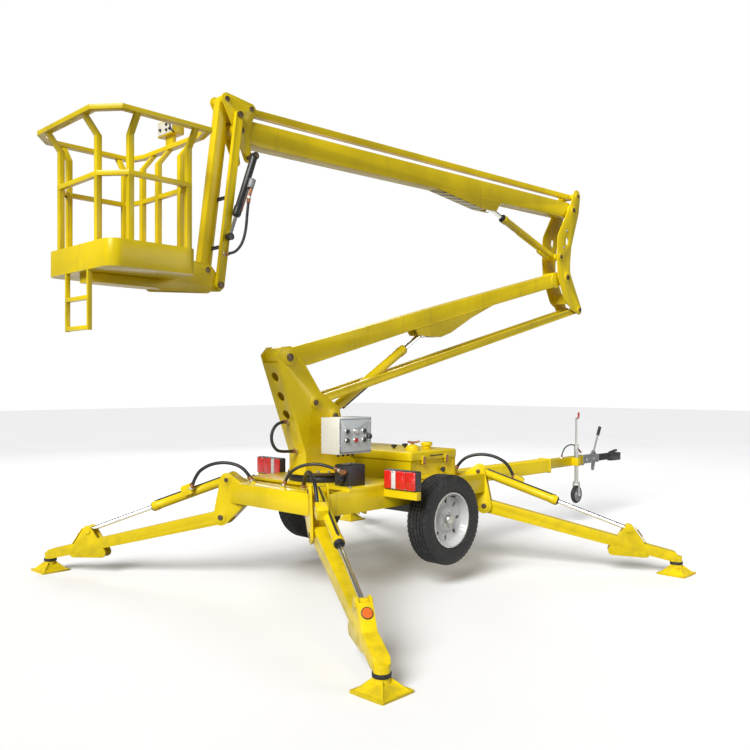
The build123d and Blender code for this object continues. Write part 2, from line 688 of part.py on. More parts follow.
# Lower levelling tie: two parallel bars
tie_inner = 48.0
tie_outer = 78.0
tie_depth = 66.0
with BuildPart() as lower_tie:
    tie_plane = line_plane(tie_foot, tie_head)
    bar = hull(tie_plane, [(0, 0, tie_depth / 2), (lower_length, 0, tie_depth / 2)])
    extrude(bar, amount=tie_outer, both=True)
    slot_between(tie_plane, (-past_all, -past_all), (lower_length + past_all, past_all), tie_inner)
    for back in (2248, 948, 248):
        pin_at(tie_plane, (lower_length - back, 0), 16, tie_outer - 4)
    pin_at(tie_plane, (0, 0), 22 + pin_fit, past_all, Mode.SUBTRACT)
    pin_at(tie_plane, (lower_length, 0), 22 + pin_fit, past_all, Mode.SUBTRACT)
keep(lower_tie, "lower_tie")

# Elbow: two boomerang plates, a cross plate, and all the pins that the booms turn on
elbow_waist = moved(elbow_pin, (-50, 395))
elbow_shoulder = moved(elbow_pin, (-71, 180))
elbow_hole = moved(elbow_pin, (-2, 402))
elbow_shin = moved(elbow_pin, (55, -175))
with BuildPart() as elbow:
    elbow_discs = [
        (*moved(rod_pin, (0, 5)), 66), (*moved(upper_pin, (30, 10)), 94), (*elbow_waist, 145), (*elbow_shoulder, 134),
        (*moved(elbow_pin, (-62, 25)), 126), (*elbow_shin, 132), (*tie_head, 54)]
    band(side, elbow_discs, elbow_outer)
    extrude(hull(side, [(*moved(tie_head, (-150, 30)), 44), (*tie_head, 54)]), amount=elbow_outer, both=True)
    slot_between(side, moved(elbow_pin, (-past_all, -past_all)), moved(rod_pin, (past_all, past_all)), elbow_inner)
    with BuildSketch(side):
        with Locations(elbow_hole):
            SlotOverall(84, 50, rotation=80)
    extrude(amount=elbow_outer * 2, both=True, mode=Mode.SUBTRACT)
    with Locations((tie_head[0] - 232, 0, tie_head[1] + 110)):
        Box(12, 2 * elbow_inner, 110)
    for point, radius, pin_radius in (
            (elbow_pin, 60, 30), (upper_pin, 54, 26), (rod_pin, 40, 18), (tie_head, 42, 22), (upper_foot, 44, 22)):
        pin_at(side, point, radius, elbow_outer + 6)
        pin_at(side, point, radius + side_gap, elbow_inner, Mode.SUBTRACT)
        pin_at(side, point, pin_radius, elbow_outer + 14)
keep(elbow, "elbow")

# Upper boom: box with a gusset below for its cylinder
half_h = upper_height / 2
rise_x, rise_z = upper_cyl_reach
upper_outline = [
    (-10, 60), (60, half_h), (upper_length - 30, half_h), (upper_length + 20, 50), (upper_length + 20, -50),
    (upper_length - 60, -half_h), (rise_x + 115, -half_h), (rise_x + 35, -half_h - 95), (rise_x - 195, -half_h - 95),
    (rise_x - 885, -half_h), (170, -half_h), (-10, -60)]
with BuildPart() as upper_boom:
    extrude(outline_of(upper_plane, upper_outline), amount=upper_half_width, both=True)
    slot_between(upper_plane, (rise_x - 130, rise_z + 98), (rise_x + 145, rise_z - 97), upper_eye_slot)
    pin_at(upper_plane, (0, 0), 60, head_inner - side_gap)
    pin_at(upper_plane, (upper_length, 0), 62, elbow_inner - side_gap)
    pin_at(upper_plane, (0, 0), 24 + pin_fit, past_all, Mode.SUBTRACT)
    pin_at(upper_plane, (upper_length, 0), 26 + pin_fit, past_all, Mode.SUBTRACT)
keep(upper_boom, "upper_boom")

# Upper levelling rod above the boom
with BuildPart() as upper_tie:
    rod_plane = line_plane(head_rod_pin, rod_pin)
    extrude(hull(rod_plane, [(0, 0, 26), (upper_length, 0, 26)]), amount=26, both=True)
    pin_at(rod_plane, (0, 0), 34, head_inner - side_gap)
    pin_at(rod_plane, (upper_length, 0), 34, elbow_inner - side_gap)
    pin_at(rod_plane, (0, 0), 18 + pin_fit, past_all, Mode.SUBTRACT)
    pin_at(rod_plane, (upper_length, 0), 18 + pin_fit, past_all, Mode.SUBTRACT)
keep(upper_tie, "upper_tie")

# Head link: two plates that carry the boom, the levelling rod and the jib
with BuildPart() as head_link:
    top_discs = [(*head_pin, 62), (*head_rod_pin, 40), (*jib_tie_pin, 44), (*jib_pin, 44)]
    extrude(hull(side, top_discs), amount=head_outer, both=True)
    extrude(hull(side, [(*head_pin, 62), (*jib_cyl_foot, 34)]), amount=head_outer, both=True)
    slot_between(side, moved(head_pin, (-past_all, -past_all)), moved(head_pin, (past_all, past_all)), head_inner)
    pin_at(side, head_pin, 24, head_outer + 2)
    pin_at(side, head_rod_pin, 18, head_outer + 8)
    pin_at(side, jib_tie_pin, 20, head_outer + 2)
    pin_at(side, jib_pin, 22, jib_bar_outer + 12)
    foot_plane = side.offset(head_outer)
    with BuildSketch(foot_plane) as foot_disc:
        with Locations(jib_cyl_foot):
            Circle(16)
    extrude(foot_disc.sketch, amount=-jib_cyl_y + 36 - head_outer)
keep(head_link, "head_link")

# Jib: two side bars with cross tubes
with BuildPart() as jib:
    bars = hull(jib_plane, [(0, 0, jib_depth / 2), (jib_length, 0, jib_depth / 2)])
    extrude(bars, amount=jib_bar_outer, both=True)
    slot_between(jib_plane, (-past_all, -past_all), (jib_length + past_all, past_all), jib_bar_inner)
    for bar_x in (280, 640):
        pin_at(jib_plane, (bar_x, 0), 14, jib_bar_inner + 4)
    gland(jib_hose_route[-1], jib_hose_route[-2], jib_hose / 2 + 4, 14)
    pin_at(jib_plane, (0, 0), 22 + pin_fit, past_all, Mode.SUBTRACT)
    pin_at(jib_plane, (jib_length, 0), 22 + pin_fit, past_all, Mode.SUBTRACT)
keep(jib, "jib")
with BuildPart() as jib_tie:
    tie_line = line_plane(jib_tie_end, jib_tie_pin)
    bar = hull(tie_line, [(0, 0, jib_tie_depth / 2), (jib_length, 0, jib_tie_depth / 2)])
    extrude(bar, amount=jib_tie_half_width, both=True)
    pin_at(tie_line, (0, 0), 34, head_inner - side_gap)
    pin_at(tie_line, (jib_length, 0), 34, head_inner - side_gap)
    pin_at(tie_line, (0, 0), 20 + pin_fit, past_all, Mode.SUBTRACT)
    pin_at(tie_line, (jib_length, 0), 20 + pin_fit, past_all, Mode.SUBTRACT)
keep(jib_tie, "jib_tie")

# Basket carrier: plates around the jib's lower pins and the beam under the floor
basket_front_x = jib_tie_end[0] - basket_front
basket_mid_x = basket_front_x - basket_depth / 2
floor_z = jib_tie_end[1] - basket_floor_drop
carrier_beam = 60.0
with BuildPart() as carrier:
    plate_discs = [
        (*jib_end, 44), (*jib_tie_end, 44), (basket_front_x - 60, floor_z - 38, 34),
        (basket_front_x + 40 + seat_gap, jib_tie_end[1] + 20, 40)]
    extrude(hull(side, plate_discs), amount=head_outer, both=True)
    slot_between(side, moved(jib_end, (-past_all, -past_all)), moved(jib_end, (past_all, past_all)), head_inner)
    with Locations((basket_front_x - 500, 0, floor_z + 500)):
        Box(1000, 400, 1000, mode=Mode.SUBTRACT)
    with BuildSketch(Plane(origin=(basket_front_x - basket_depth + 60, 0, floor_z - seat_gap - carrier_beam / 2),
                           x_dir=(0, 1, 0), z_dir=(1, 0, 0))):
        RectangleRounded(2 * head_outer, carrier_beam, 8)
    extrude(amount=basket_depth - 60)
    with Locations((basket_mid_x, 0, floor_z - seat_gap - carrier_beam / 2)):
        Cylinder(58, carrier_beam)
    pin_at(side, jib_end, 22, jib_bar_outer + 12)
    pin_at(side, jib_tie_end, 20, head_outer + 2)
keep(carrier, "basket_carrier")

# Basket: toe tray, posts that lean out at the top, middle rail, flared top rail and a hanging step
half_x = basket_depth / 2
half_y = basket_width / 2
wall = 4.0
rail_cut = ((125.0, 155.0), (50.0, 165.0))
step_width = 290.0
step_drop = 365.0


def rail_outline(grow):
    """The rails' outer outline: a rectangle with its corners cut, deeper on the outer side."""
    far, near = rail_cut
    right = [
        (half_x + grow, half_y + grow - near[1]), (half_x + grow - near[0], half_y + grow),
        (far[0] - half_x - grow, half_y + grow), (-half_x - grow, half_y + grow - far[1])]
    return [(basket_mid_x + x, y) for x, y in right + [(x, -y) for x, y in reversed(right)]]


with BuildPart() as basket:
    with BuildSketch(Plane.XY.offset(floor_z)):
        with Locations((basket_mid_x, 0)):
            RectangleRounded(basket_depth, basket_width, basket_corner)
    extrude(amount=toe_height)
    with BuildSketch(Plane.XY.offset(floor_z + 12)):
        with Locations((basket_mid_x, 0)):
            RectangleRounded(basket_depth - 2 * wall, basket_width - 2 * wall, basket_corner - wall)
    extrude(amount=toe_height, mode=Mode.SUBTRACT)
    post_in_x = half_x - post_size / 2
    post_in_y = half_y - post_size / 2
    far_cut, near_cut = rail_cut
    posts = [
        (-post_in_x, half_y - far_cut[1] - post_size / 2, -1, 0), (far_cut[0] - half_x + post_size / 2, post_in_y, 0, 1),
        (half_x - near_cut[0] - post_size / 2, post_in_y, 0, 1), (post_in_x, half_y - near_cut[1] - post_size / 2, 1, 0)]
    posts += [(x, -y, out_x, -out_y) for x, y, out_x, out_y in posts]
    posts.append((post_in_x, post_size, 1, 0))
    for x, y, out_x, out_y in posts:
        lean_plane = Plane(origin=(basket_mid_x + x, y, floor_z), x_dir=(out_x, out_y, 0), z_dir=(out_y, -out_x, 0))
        reach = post_size / 2
        bent_post = [
            (-reach, 2), (reach - 1, 2), (reach - 1, post_bend_rise), (reach - 1 + basket_flare, top_rail_rise),
            (basket_flare - reach, top_rail_rise), (-reach, post_bend_rise)]
        extrude(outline_of(lean_plane, bent_post), amount=post_size / 2, both=True)
    for rise, grow in ((mid_rail_rise, 0), (top_rail_rise - 8, basket_flare)):
        with BuildSketch(Plane.XY.offset(floor_z + rise)) as ring:
            with BuildLine():
                Polyline(*rail_outline(grow), close=True)
            make_face()
            offset(amount=-(rail_size + grow / 5), mode=Mode.SUBTRACT)
        extrude(amount=rail_size)
    step_x = basket_mid_x - half_x + 14
    for hand in (-1, 1):
        with Locations((step_x, hand * step_width / 2, floor_z + 40 - step_drop / 2)):
            Box(28, 16, step_drop + 80)
    for rung in (1, 2):
        with Locations((step_x, 0, floor_z - step_drop * rung / 2 + 16)):
            Box(34, step_width, 26)
keep(basket, "basket")

# Basket console: a sloped control box on a stem above the inner top rail
console_y = 16.0
console_base = floor_z + top_rail_rise + rail_size - 8 + seat_gap
with BuildPart() as basket_panel:
    console_x = basket_mid_x + half_x + basket_flare - 24
    with Locations((console_x, console_y, console_base + 40)):
        Box(30, 90, 80)
    console_side = [
        (console_x - 42, console_base + 62), (console_x + 42, console_base + 62), (console_x + 42, console_base + 120),
        (console_x - 42, console_base + 162)]
    extrude(outline_of(side.offset(-console_y), console_side), amount=100, both=True)
keep(basket_panel, "basket_panel")


def cylinder_pair(foot, eye, plane_y, tube_r, shown, rod_r, held, eye_half, foot_half, pin_r, names, pipes, pin_reach=0):
    """A hydraulic cylinder: tube with its foot boss and pipes, and rod with its eye, shown by some length at rest."""
    run = gap(foot, eye)
    tube_length = run - shown
    direction = (eye[0] - foot[0], 0, eye[1] - foot[1])
    axis_plane = Plane(origin=(foot[0], plane_y, foot[1]), x_dir=(0, 1, 0), z_dir=direction)
    cross = side.offset(-plane_y)
    with BuildPart() as tube:
        bar_along(axis_plane, 0, tube_length, 0, 0, tube_r)
        bar_along(axis_plane, tube_length - 60, 60, 0, 0, tube_r + 5)
        for start, length, across, rise, radius in pipes:
            bar_along(axis_plane, start, length, across, rise, radius)
        pin_at(cross, foot, tube_r, foot_half)
        with BuildSketch(axis_plane.offset(pin_r + 30)):
            Circle(rod_r + rod_fit)
        extrude(amount=tube_length, mode=Mode.SUBTRACT)
        pin_at(cross, foot, pin_r + pin_fit, foot_half * 3, Mode.SUBTRACT)
    keep(tube, names[0])
    with BuildPart() as rod:
        bar_along(axis_plane, tube_length - held, shown + held, 0, 0, rod_r)
        pin_at(cross, eye, rod_r + 12, eye_half)
        if pin_reach:
            with BuildSketch(cross) as pin_disc:
                with Locations(eye):
                    Circle(pin_r - 2)
            extrude(pin_disc.sketch, amount=-pin_reach)
    keep(rod, names[1])


# Pipes and valves on the cylinders: start and length along the tube, place beside its axis, radius
lower_pipes = [(190, 30, 0, -42, 18), (200, 440, 0, -50, 9), (620, 30, 0, -42, 18)]
upper_pipes = [(90, 210, 0, 52, 20), (300, 420, 0, 42, 8)]
jib_pipes = [(190, 70, -42, 18, 24), (255, 70, -50, 25, 12), (200, 240, -26, 14, 8)]
cylinder_pair(
    lower_cyl_foot, lower_cyl_eye, 0, 40, 278, 22, 660, lower_eye_slot - 6, 38, 22, ("lower_cylinder", "lower_rod"),
    lower_pipes)
cylinder_pair(
    upper_foot, upper_cyl_eye, 0, 38, 234, 20, 770, upper_eye_slot - 6, 60, 22, ("upper_cylinder", "upper_rod"),
    upper_pipes)
cylinder_pair(
    jib_cyl_foot, jib_cyl_eye, jib_cyl_y, 26, 174, 13, 375, 22, 24, 16, ("jib_cylinder", "jib_rod"), jib_pipes, 38)

# Outriggers, one at each corner
boss_reach = 10.0
with BuildPart() as brackets:
    for corner, ahead, hand in corners:
        leg_plane = corner_plane(ahead, hand)
        plate_discs = [(0, 0, 66), (*leg_base_pin, 56), (-150, 250, 40), (-150, 110, 40)]
        extrude(hull(leg_plane, plate_discs), amount=bracket_outer, both=True)
        slot_between(leg_plane, (slot_back, -past_all), (past_all, past_all), bracket_inner)
        for point, radius, pin_radius in (((0, 0), 44, 22), (leg_base_pin, 36, 18)):
            pin_at(leg_plane, point, radius, bracket_outer + boss_reach - 5)
            pin_at(leg_plane, point, radius + side_gap, bracket_inner, Mode.SUBTRACT)
            pin_at(leg_plane, point, pin_radius, bracket_outer + boss_reach)
    add(chassis.part, mode=Mode.SUBTRACT)
keep(brackets, "outrigger_brackets")
pad_size = 240.0
pad_thick = 14.0
pad_rise = 80.0
sleeve_radius = 45.0
leg_rod_held = 170.0
for corner, ahead, hand in corners:
    leg_plane = corner_plane(ahead, hand)
    foot_z = leg_foot_z - leg_pivot_z
    eye_out, eye_up = leg_eye_pin
    with BuildPart() as leg:
        ear_discs = [(eye_out, eye_up, 40), (eye_out - 130, eye_up - 180, 40), (eye_out + 130, eye_up - 190, 40)]
        extrude(hull(leg_plane, ear_discs), amount=leg_width / 2, both=True)
        pin_at(leg_plane, leg_eye_pin, 30, leg_width / 2 + 6)
        slot_between(leg_plane, (eye_out - 200, -past_all), (eye_out + 200, 0), 32)
        tube_discs = [(0, 0, leg_depth / 2), (leg_reach - 30, foot_z + 30, 40)]
        extrude(hull(leg_plane, tube_discs), amount=leg_width / 2, both=True)
        pin_at(leg_plane, (0, 0), 22 + pin_fit, past_all, Mode.SUBTRACT)
        pad_place = leg_plane.from_local_coords((leg_reach, -leg_pivot_z, 0))
        pad_plane = Plane(origin=pad_place, z_dir=(0, 0, 1))
        with BuildSketch(pad_plane):
            RectangleRounded(pad_size, pad_size, 12)
        extrude(amount=pad_thick)
        with BuildSketch(pad_plane.offset(pad_thick)):
            Rectangle(pad_size - 50, pad_size - 50)
        with BuildSketch(pad_plane.offset(pad_thick + 40)):
            Rectangle(2 * sleeve_radius + 20, 2 * sleeve_radius + 20)
        loft()
        for turn in (45, 135):
            rib_plane = Plane(origin=pad_place, x_dir=(cos(radians(turn)), sin(radians(turn)), 0),
                              z_dir=(sin(radians(turn)), -cos(radians(turn)), 0))
            rib = [(-140, pad_thick), (140, pad_thick), (sleeve_radius, pad_rise), (-sleeve_radius, pad_rise)]
            extrude(outline_of(rib_plane, rib), amount=5, both=True)
        with BuildSketch(pad_plane.offset(40)):
            Circle(sleeve_radius)
        extrude(amount=leg_foot_z - 8)
    keep(leg, f"leg_{corner}")
    names = (f"leg_cylinder_{corner}", f"leg_rod_{corner}")
    run = gap(leg_base_pin, leg_eye_pin)
    tube_length = run - leg_rod_shown
    aim = leg_plane.x_dir * (leg_eye_pin[0] - leg_base_pin[0]) + Vector(0, 0, leg_eye_pin[1] - leg_base_pin[1])
    cyl_plane = Plane(origin=leg_plane.from_local_coords((*leg_base_pin, 0)), x_dir=leg_plane.z_dir, z_dir=aim)
    tilt = Plane(origin=leg_plane.from_local_coords((*leg_base_pin, 0)), x_dir=aim, z_dir=leg_plane.z_dir)
    hose_side = ahead * hand
    valve_plane = tilt.offset(hose_side * 46)
    with BuildPart() as leg_tube:
        bar_along(cyl_plane, 0, tube_length, 0, 0, leg_tube_radius)
        bar_along(cyl_plane, tube_length - 50, 50, 0, 0, leg_tube_radius + 4)
        pipe_rise = leg_tube_radius + 4
        with BuildSketch(Plane(origin=tilt.from_local_coords((70, pipe_rise, 0)), z_dir=aim)):
            Circle(6)
        extrude(amount=tube_length - 90)
        with BuildSketch(valve_plane):
            with BuildLine():
                Polyline((296, -8), (396, -8), (396, 62), (376, 76), (296, 76), close=True)
            make_face()
            Circle(valve_swing, mode=Mode.SUBTRACT)
        extrude(amount=38, both=True)
        pin_at(leg_plane, leg_base_pin, leg_tube_radius, bracket_inner - side_gap)
        with BuildSketch(cyl_plane.offset(50)):
            Circle(leg_rod_radius + rod_fit)
        extrude(amount=tube_length, mode=Mode.SUBTRACT)
        pin_at(leg_plane, leg_base_pin, 18 + pin_fit, 100, Mode.SUBTRACT)
    keep(leg_tube, names[0])
    with BuildPart() as leg_rod:
        bar_along(cyl_plane, tube_length - leg_rod_held, run - tube_length + leg_rod_held, 0, 0, leg_rod_radius)
        pin_at(leg_plane, leg_eye_pin, 28, 29)
    keep(leg_rod, names[1])
    free_hose(
        f"hose_leg_{corner}", leg_hose_points(ahead, hand), leg_hose,
        (leg_plane, leg_base_pin, valve_swing - seat_gap, past_all))

# The other hoses
free_hose("hose_deck", deck_hose_route, deck_hose)
free_hose("hose_tower", tower_hose_route, deck_hose)
free_hose("hose_jib", jib_hose_route, jib_hose)
free_hose("cable_drawbar", brake_cable_route, brake_cable)
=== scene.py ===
"""Towable boom lift: the finish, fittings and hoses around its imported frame, laid out as an add-on."""
import json
from math import cos, pi, radians, sin, tau

import bmesh
import bpy
from bpy.props import FloatProperty, FloatVectorProperty, PointerProperty
from mathutils import Matrix, Vector

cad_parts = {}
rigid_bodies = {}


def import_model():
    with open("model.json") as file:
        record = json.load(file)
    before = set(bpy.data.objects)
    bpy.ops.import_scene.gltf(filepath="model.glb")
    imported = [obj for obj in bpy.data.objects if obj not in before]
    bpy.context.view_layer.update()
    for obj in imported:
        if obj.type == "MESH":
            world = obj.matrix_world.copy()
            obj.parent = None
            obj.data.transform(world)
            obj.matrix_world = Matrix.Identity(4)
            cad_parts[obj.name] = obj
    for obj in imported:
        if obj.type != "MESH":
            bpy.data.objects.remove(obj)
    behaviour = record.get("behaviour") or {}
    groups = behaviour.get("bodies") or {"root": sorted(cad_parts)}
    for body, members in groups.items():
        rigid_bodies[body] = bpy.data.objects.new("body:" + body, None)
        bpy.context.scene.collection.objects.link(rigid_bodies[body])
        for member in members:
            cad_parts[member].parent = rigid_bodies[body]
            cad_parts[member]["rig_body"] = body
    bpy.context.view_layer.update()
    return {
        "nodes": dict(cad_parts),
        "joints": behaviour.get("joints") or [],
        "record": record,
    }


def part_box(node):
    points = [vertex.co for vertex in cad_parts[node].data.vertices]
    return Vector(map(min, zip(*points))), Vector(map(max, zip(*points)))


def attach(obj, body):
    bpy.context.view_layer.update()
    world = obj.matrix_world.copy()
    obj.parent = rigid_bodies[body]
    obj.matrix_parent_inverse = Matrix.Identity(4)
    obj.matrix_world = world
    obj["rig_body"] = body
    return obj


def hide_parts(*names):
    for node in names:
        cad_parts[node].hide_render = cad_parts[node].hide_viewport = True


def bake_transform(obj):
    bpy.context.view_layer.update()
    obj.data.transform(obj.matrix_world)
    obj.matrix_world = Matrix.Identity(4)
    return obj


bl_info = {
    "name": "Towable boom lift dressing",
    "version": (1, 0, 0),
    "blender": (4, 5, 0),
    "location": "3D View > Sidebar > Boom lift",
    "description": "Paint, fittings, hoses and a pale stage for the packed boom lift",
    "category": "Object",
}

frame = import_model()
nodes = frame["nodes"]
joints = {joint["name"]: joint for joint in frame["joints"]}
# Each corner's name with its side along X and along Y
corners = (("front_left", 1, 1), ("front_right", 1, -1), ("rear_left", -1, 1), ("rear_right", -1, -1))


def at(joint):
    """The place of a joint's pin."""
    return Vector(joints[joint]["pos_m"])


# Pins of the booms and the jib, read from the joints
tower_pin = at("lower_boom_lift")
elbow_pin = at("elbow_level")
upper_pin = at("upper_boom_lift")
head_pin = at("head_level")
jib_pin = at("jib_lift")
jib_tie_pin = at("jib_tie_swing")
jib_end = at("basket_level")
jib_tie_end = jib_end + jib_tie_pin - jib_pin

# Directions
AHEAD = Vector((1, 0, 0))
LEFT = Vector((0, 1, 0))
UP = Vector((0, 0, 1))

# Places that the fittings and hoses are set out from
slew_x = at("slew").x
pad_mid_x = slew_x + 0.4
leg_yaw = radians(59.5)
leg_base_pin = Vector((-0.050, 0.300))
leg_eye_pin = Vector((1.210, -0.160))
boom_along = (upper_pin - head_pin).normalized()
boom_across = boom_along.cross(LEFT)
lower_along = (elbow_pin - tower_pin).normalized()
lower_across = lower_along.cross(LEFT)
jib_up = (jib_pin - jib_end).normalized()

# Rod eyes of the booms' cylinders at rest, and the top of the slewing table
lower_eye_along = 1.642
lower_eye = tower_pin + lower_along * lower_eye_along - lower_across * 0.147
upper_eye = head_pin + boom_along * 3.115 - boom_across * 0.150
jib_eye = jib_end + jib_up * ((jib_pin - jib_end).length - 0.900)
jib_cylinder_aside = -0.150
leg_rod_shown = 0.630
table_top = 0.8973


class LegFrame:
    """The upright plane of a leg: out along the leg, up, and aside to one hand."""

    def __init__(self, corner, ahead, hand):
        self.corner = corner
        self.pivot = at(f"leg_{corner}_lift")
        self.out = Vector((ahead * cos(leg_yaw), hand * sin(leg_yaw), 0))
        self.aside = Vector((self.out.y, -self.out.x, 0))
        self.hose_side = ahead * hand

    def at(self, out, up, aside=0.0):
        return self.pivot + self.out * out + UP * up + self.aside * aside

    def local(self, point):
        step = point - self.pivot
        return step.dot(self.out), step.z, step.dot(self.aside)


legs = [LegFrame(*corner) for corner in corners]


class PaintSettings(bpy.types.PropertyGroup):
    """Colours of the finishes."""
    yellow: FloatVectorProperty(
        name="Machine yellow", description="Enamel on the booms, chassis and basket",
        subtype="COLOR", size=3, min=0, max=1, default=(0.82, 0.61, 0.006))
    dirt: FloatVectorProperty(
        name="Grime", description="Dust and oil that settle on the paint",
        subtype="COLOR", size=3, min=0, max=1, default=(0.30, 0.235, 0.02))
    box_grey: FloatVectorProperty(
        name="Control box grey", description="Enclosure paint of the control box",
        subtype="COLOR", size=3, min=0, max=1, default=(0.55, 0.58, 0.58))
    lens_red: FloatVectorProperty(
        name="Lamp red", description="Lens of the tail lamps",
        subtype="COLOR", size=3, min=0, max=1, default=(0.75, 0.015, 0.012))
    rim_white: FloatVectorProperty(
        name="Wheel white", description="Paint of the pressed wheels",
        subtype="COLOR", size=3, min=0, max=1, default=(0.74, 0.74, 0.73))
    rubber: FloatVectorProperty(
        name="Rubber", description="Tyres, hoses and grips",
        subtype="COLOR", size=3, min=0, max=1, default=(0.018, 0.018, 0.019))


class FittingSettings(bpy.types.PropertyGroup):
    """Sizes of the small fittings."""
    weld_size: FloatProperty(
        name="Weld bead", description="Radius of a weld bead",
        subtype="DISTANCE", unit="LENGTH", min=0, default=0.0042)
    bolt_flats: FloatProperty(
        name="Bolt size", description="Width across a common bolt head",
        subtype="DISTANCE", unit="LENGTH", min=0, default=0.019)


class StageSettings(bpy.types.PropertyGroup):
    """Camera, floor and lights."""
    eye: FloatVectorProperty(
        name="Camera place", description="Where the camera stands",
        subtype="XYZ", unit="LENGTH", size=3, default=(-5.7363, -4.746, 1.573))
    heading: FloatProperty(
        name="Camera heading", description="Turn of the view to the right of straight ahead along Y",
        subtype="ANGLE", unit="ROTATION", default=radians(46))
    lens: FloatProperty(
        name="Lens", description="Focal length on a 36 mm sensor",
        unit="CAMERA", min=1, default=38.26)
    rise: FloatProperty(
        name="Camera shift", description="Vertical shift that puts the horizon where it lies",
        default=0.0133)
    floor_tone: FloatProperty(
        name="Floor tone", description="Lightness of the floor", min=0, max=1, default=0.93)
    key: FloatProperty(
        name="Key light", description="Strength of the wide key light", min=0, default=4.1)


def let_go():
    """Leaves object mode with nothing selected."""
    if bpy.context.object and bpy.context.object.mode != "OBJECT":
        bpy.ops.object.mode_set(mode="OBJECT")
    bpy.ops.object.select_all(action="DESELECT")


def take(*things):
    """Selects these objects, the first one active."""
    let_go()
    for thing in things:
        thing.select_set(True)
    bpy.context.view_layer.objects.active = things[0]
    return things[0]


def named(name):
    """Names the object that was just added."""
    thing = bpy.context.object
    thing.name = name
    thing.data.name = name
    return thing


def added(name, data):
    """A new object with that data, linked to the scene."""
    thing = bpy.data.objects.new(name, data)
    bpy.context.scene.collection.objects.link(thing)
    return thing


def apply_place(thing):
    take(thing)
    bpy.ops.object.transform_apply(location=True, rotation=True, scale=True)
    return thing


def rounded(thing, width, segments=2, angle=32):
    """Rounds the edges that are sharper than that angle."""
    take(thing)
    bevel = thing.modifiers.new("Bevel", "BEVEL")
    bevel.width = width
    bevel.segments = segments
    bevel.limit_method = "ANGLE"
    bevel.angle_limit = radians(angle)
    bpy.ops.object.modifier_apply(modifier=bevel.name)
    return thing


def smooth(thing, angle=38):
    take(thing)
    bpy.ops.object.shade_smooth_by_angle(angle=radians(angle))
    return thing


def join(things, name):
    take(*things)
    if len(things) > 1:
        bpy.ops.object.join()
    return named(name)


def aimed(place, direction, turn=0.0):
    """The placing that takes local Z to the direction, at a place."""
    turned = Vector(direction).to_track_quat("Z", "Y").to_matrix().to_4x4()
    return Matrix.Translation(Vector(place)) @ turned @ Matrix.Rotation(turn, 4, "Z")


def copies(master, placings, name):
    """Copies of a master, each with its own mesh, joined into one piece; the master goes."""
    made = []
    for placing in placings:
        twin = added(name, master.data.copy())
        twin.data.transform(placing)
        made.append(twin)
    bpy.data.objects.remove(master)
    return join(made, name)


def block(name, centre, size, edge, segments=2):
    """A box at its place with rounded edges."""
    let_go()
    bpy.ops.mesh.primitive_cube_add(size=1, location=centre)
    thing = named(name)
    thing.scale = size
    apply_place(thing)
    return rounded(thing, edge, segments)


def rod(name, start, end, radius, sides, edge):
    """A round bar from one point to another with rounded ends."""
    start, end = Vector(start), Vector(end)
    let_go()
    bpy.ops.mesh.primitive_cylinder_add(vertices=sides, radius=radius, depth=(end - start).length)
    thing = named(name)
    thing.matrix_world = aimed((start + end) / 2, end - start)
    apply_place(thing)
    return rounded(thing, edge)


def turned(name, placing, profile, steps=32):
    """A profile of radius and height pairs, spun round local Z and closed on the axis."""
    let_go()
    bpy.ops.mesh.primitive_plane_add(size=1)
    thing = named(name)
    shape = bmesh.new()
    points = [shape.verts.new((radius, 0, height)) for radius, height in profile]
    for first, second in zip(points, points[1:]):
        shape.edges.new((first, second))
    shape.to_mesh(thing.data)
    shape.free()
    take(thing)
    bpy.ops.object.mode_set(mode="EDIT")
    bpy.ops.mesh.select_all(action="SELECT")
    bpy.ops.mesh.spin(steps=steps, angle=tau, center=(0, 0, 0), axis=(0, 0, 1))
    bpy.ops.mesh.select_all(action="SELECT")
    bpy.ops.mesh.remove_doubles(threshold=1e-6)
    bpy.ops.mesh.normals_make_consistent(inside=False)
    bpy.ops.object.mode_set(mode="OBJECT")
    thing.data.transform(placing)
    return thing


def plate(name, placing, outline, thickness, edge=0.0015):
    """A flat plate with that outline in local X and Y, as thick as said, centred on it."""
    let_go()
    bpy.ops.mesh.primitive_circle_add(vertices=len(outline), radius=1, fill_type="NGON")
    thing = named(name)
    for vertex, (x, y) in zip(thing.data.vertices, outline):
        vertex.co = (x, y, -thickness / 2)
    take(thing)
    bpy.ops.object.mode_set(mode="EDIT")
    bpy.ops.mesh.select_all(action="SELECT")
    bpy.ops.mesh.extrude_region_move(TRANSFORM_OT_translate={"value": (0, 0, thickness)})
    bpy.ops.mesh.select_all(action="SELECT")
    bpy.ops.mesh.normals_make_consistent(inside=False)
    bpy.ops.object.mode_set(mode="OBJECT")
    thing.data.transform(placing)
    return rounded(thing, edge)


def spline(name, points, order=3, resolution=16, cyclic=False, ripple=0.0):
    """A curve with those control points: smooth at that order, or straight runs at order 0."""
    curve = bpy.data.curves.new(name, "CURVE")
    curve.dimensions = "3D"
    route = curve.splines.new("NURBS" if order else "POLY")
    route.points.add(len(points) - 1)
    for index, (control, point) in enumerate(zip(route.points, points)):
        control.co = (*point, 1)
        control.radius = 1 - ripple * (index % 2)
    route.use_cyclic_u = cyclic
    if order:
        route.order_u = order
        route.use_endpoint_u = True
        route.resolution_u = resolution
    return added(name, curve)


def thicken(thing, radius, sides=5):
    """Makes a curve a round line with closed ends."""
    thing.data.bevel_depth = radius
    thing.data.bevel_resolution = sides
    thing.data.use_fill_caps = True
    return thing


def line(name, points, radius, cyclic=False, smooth_order=0, ripple=0.0, sides=2):
    """A round line along points, made a mesh: straight runs, or a smooth one of that order."""
    take(thicken(spline(name, points, smooth_order, 8, cyclic, ripple), radius, sides))
    bpy.ops.object.convert(target="MESH")
    return named(name)


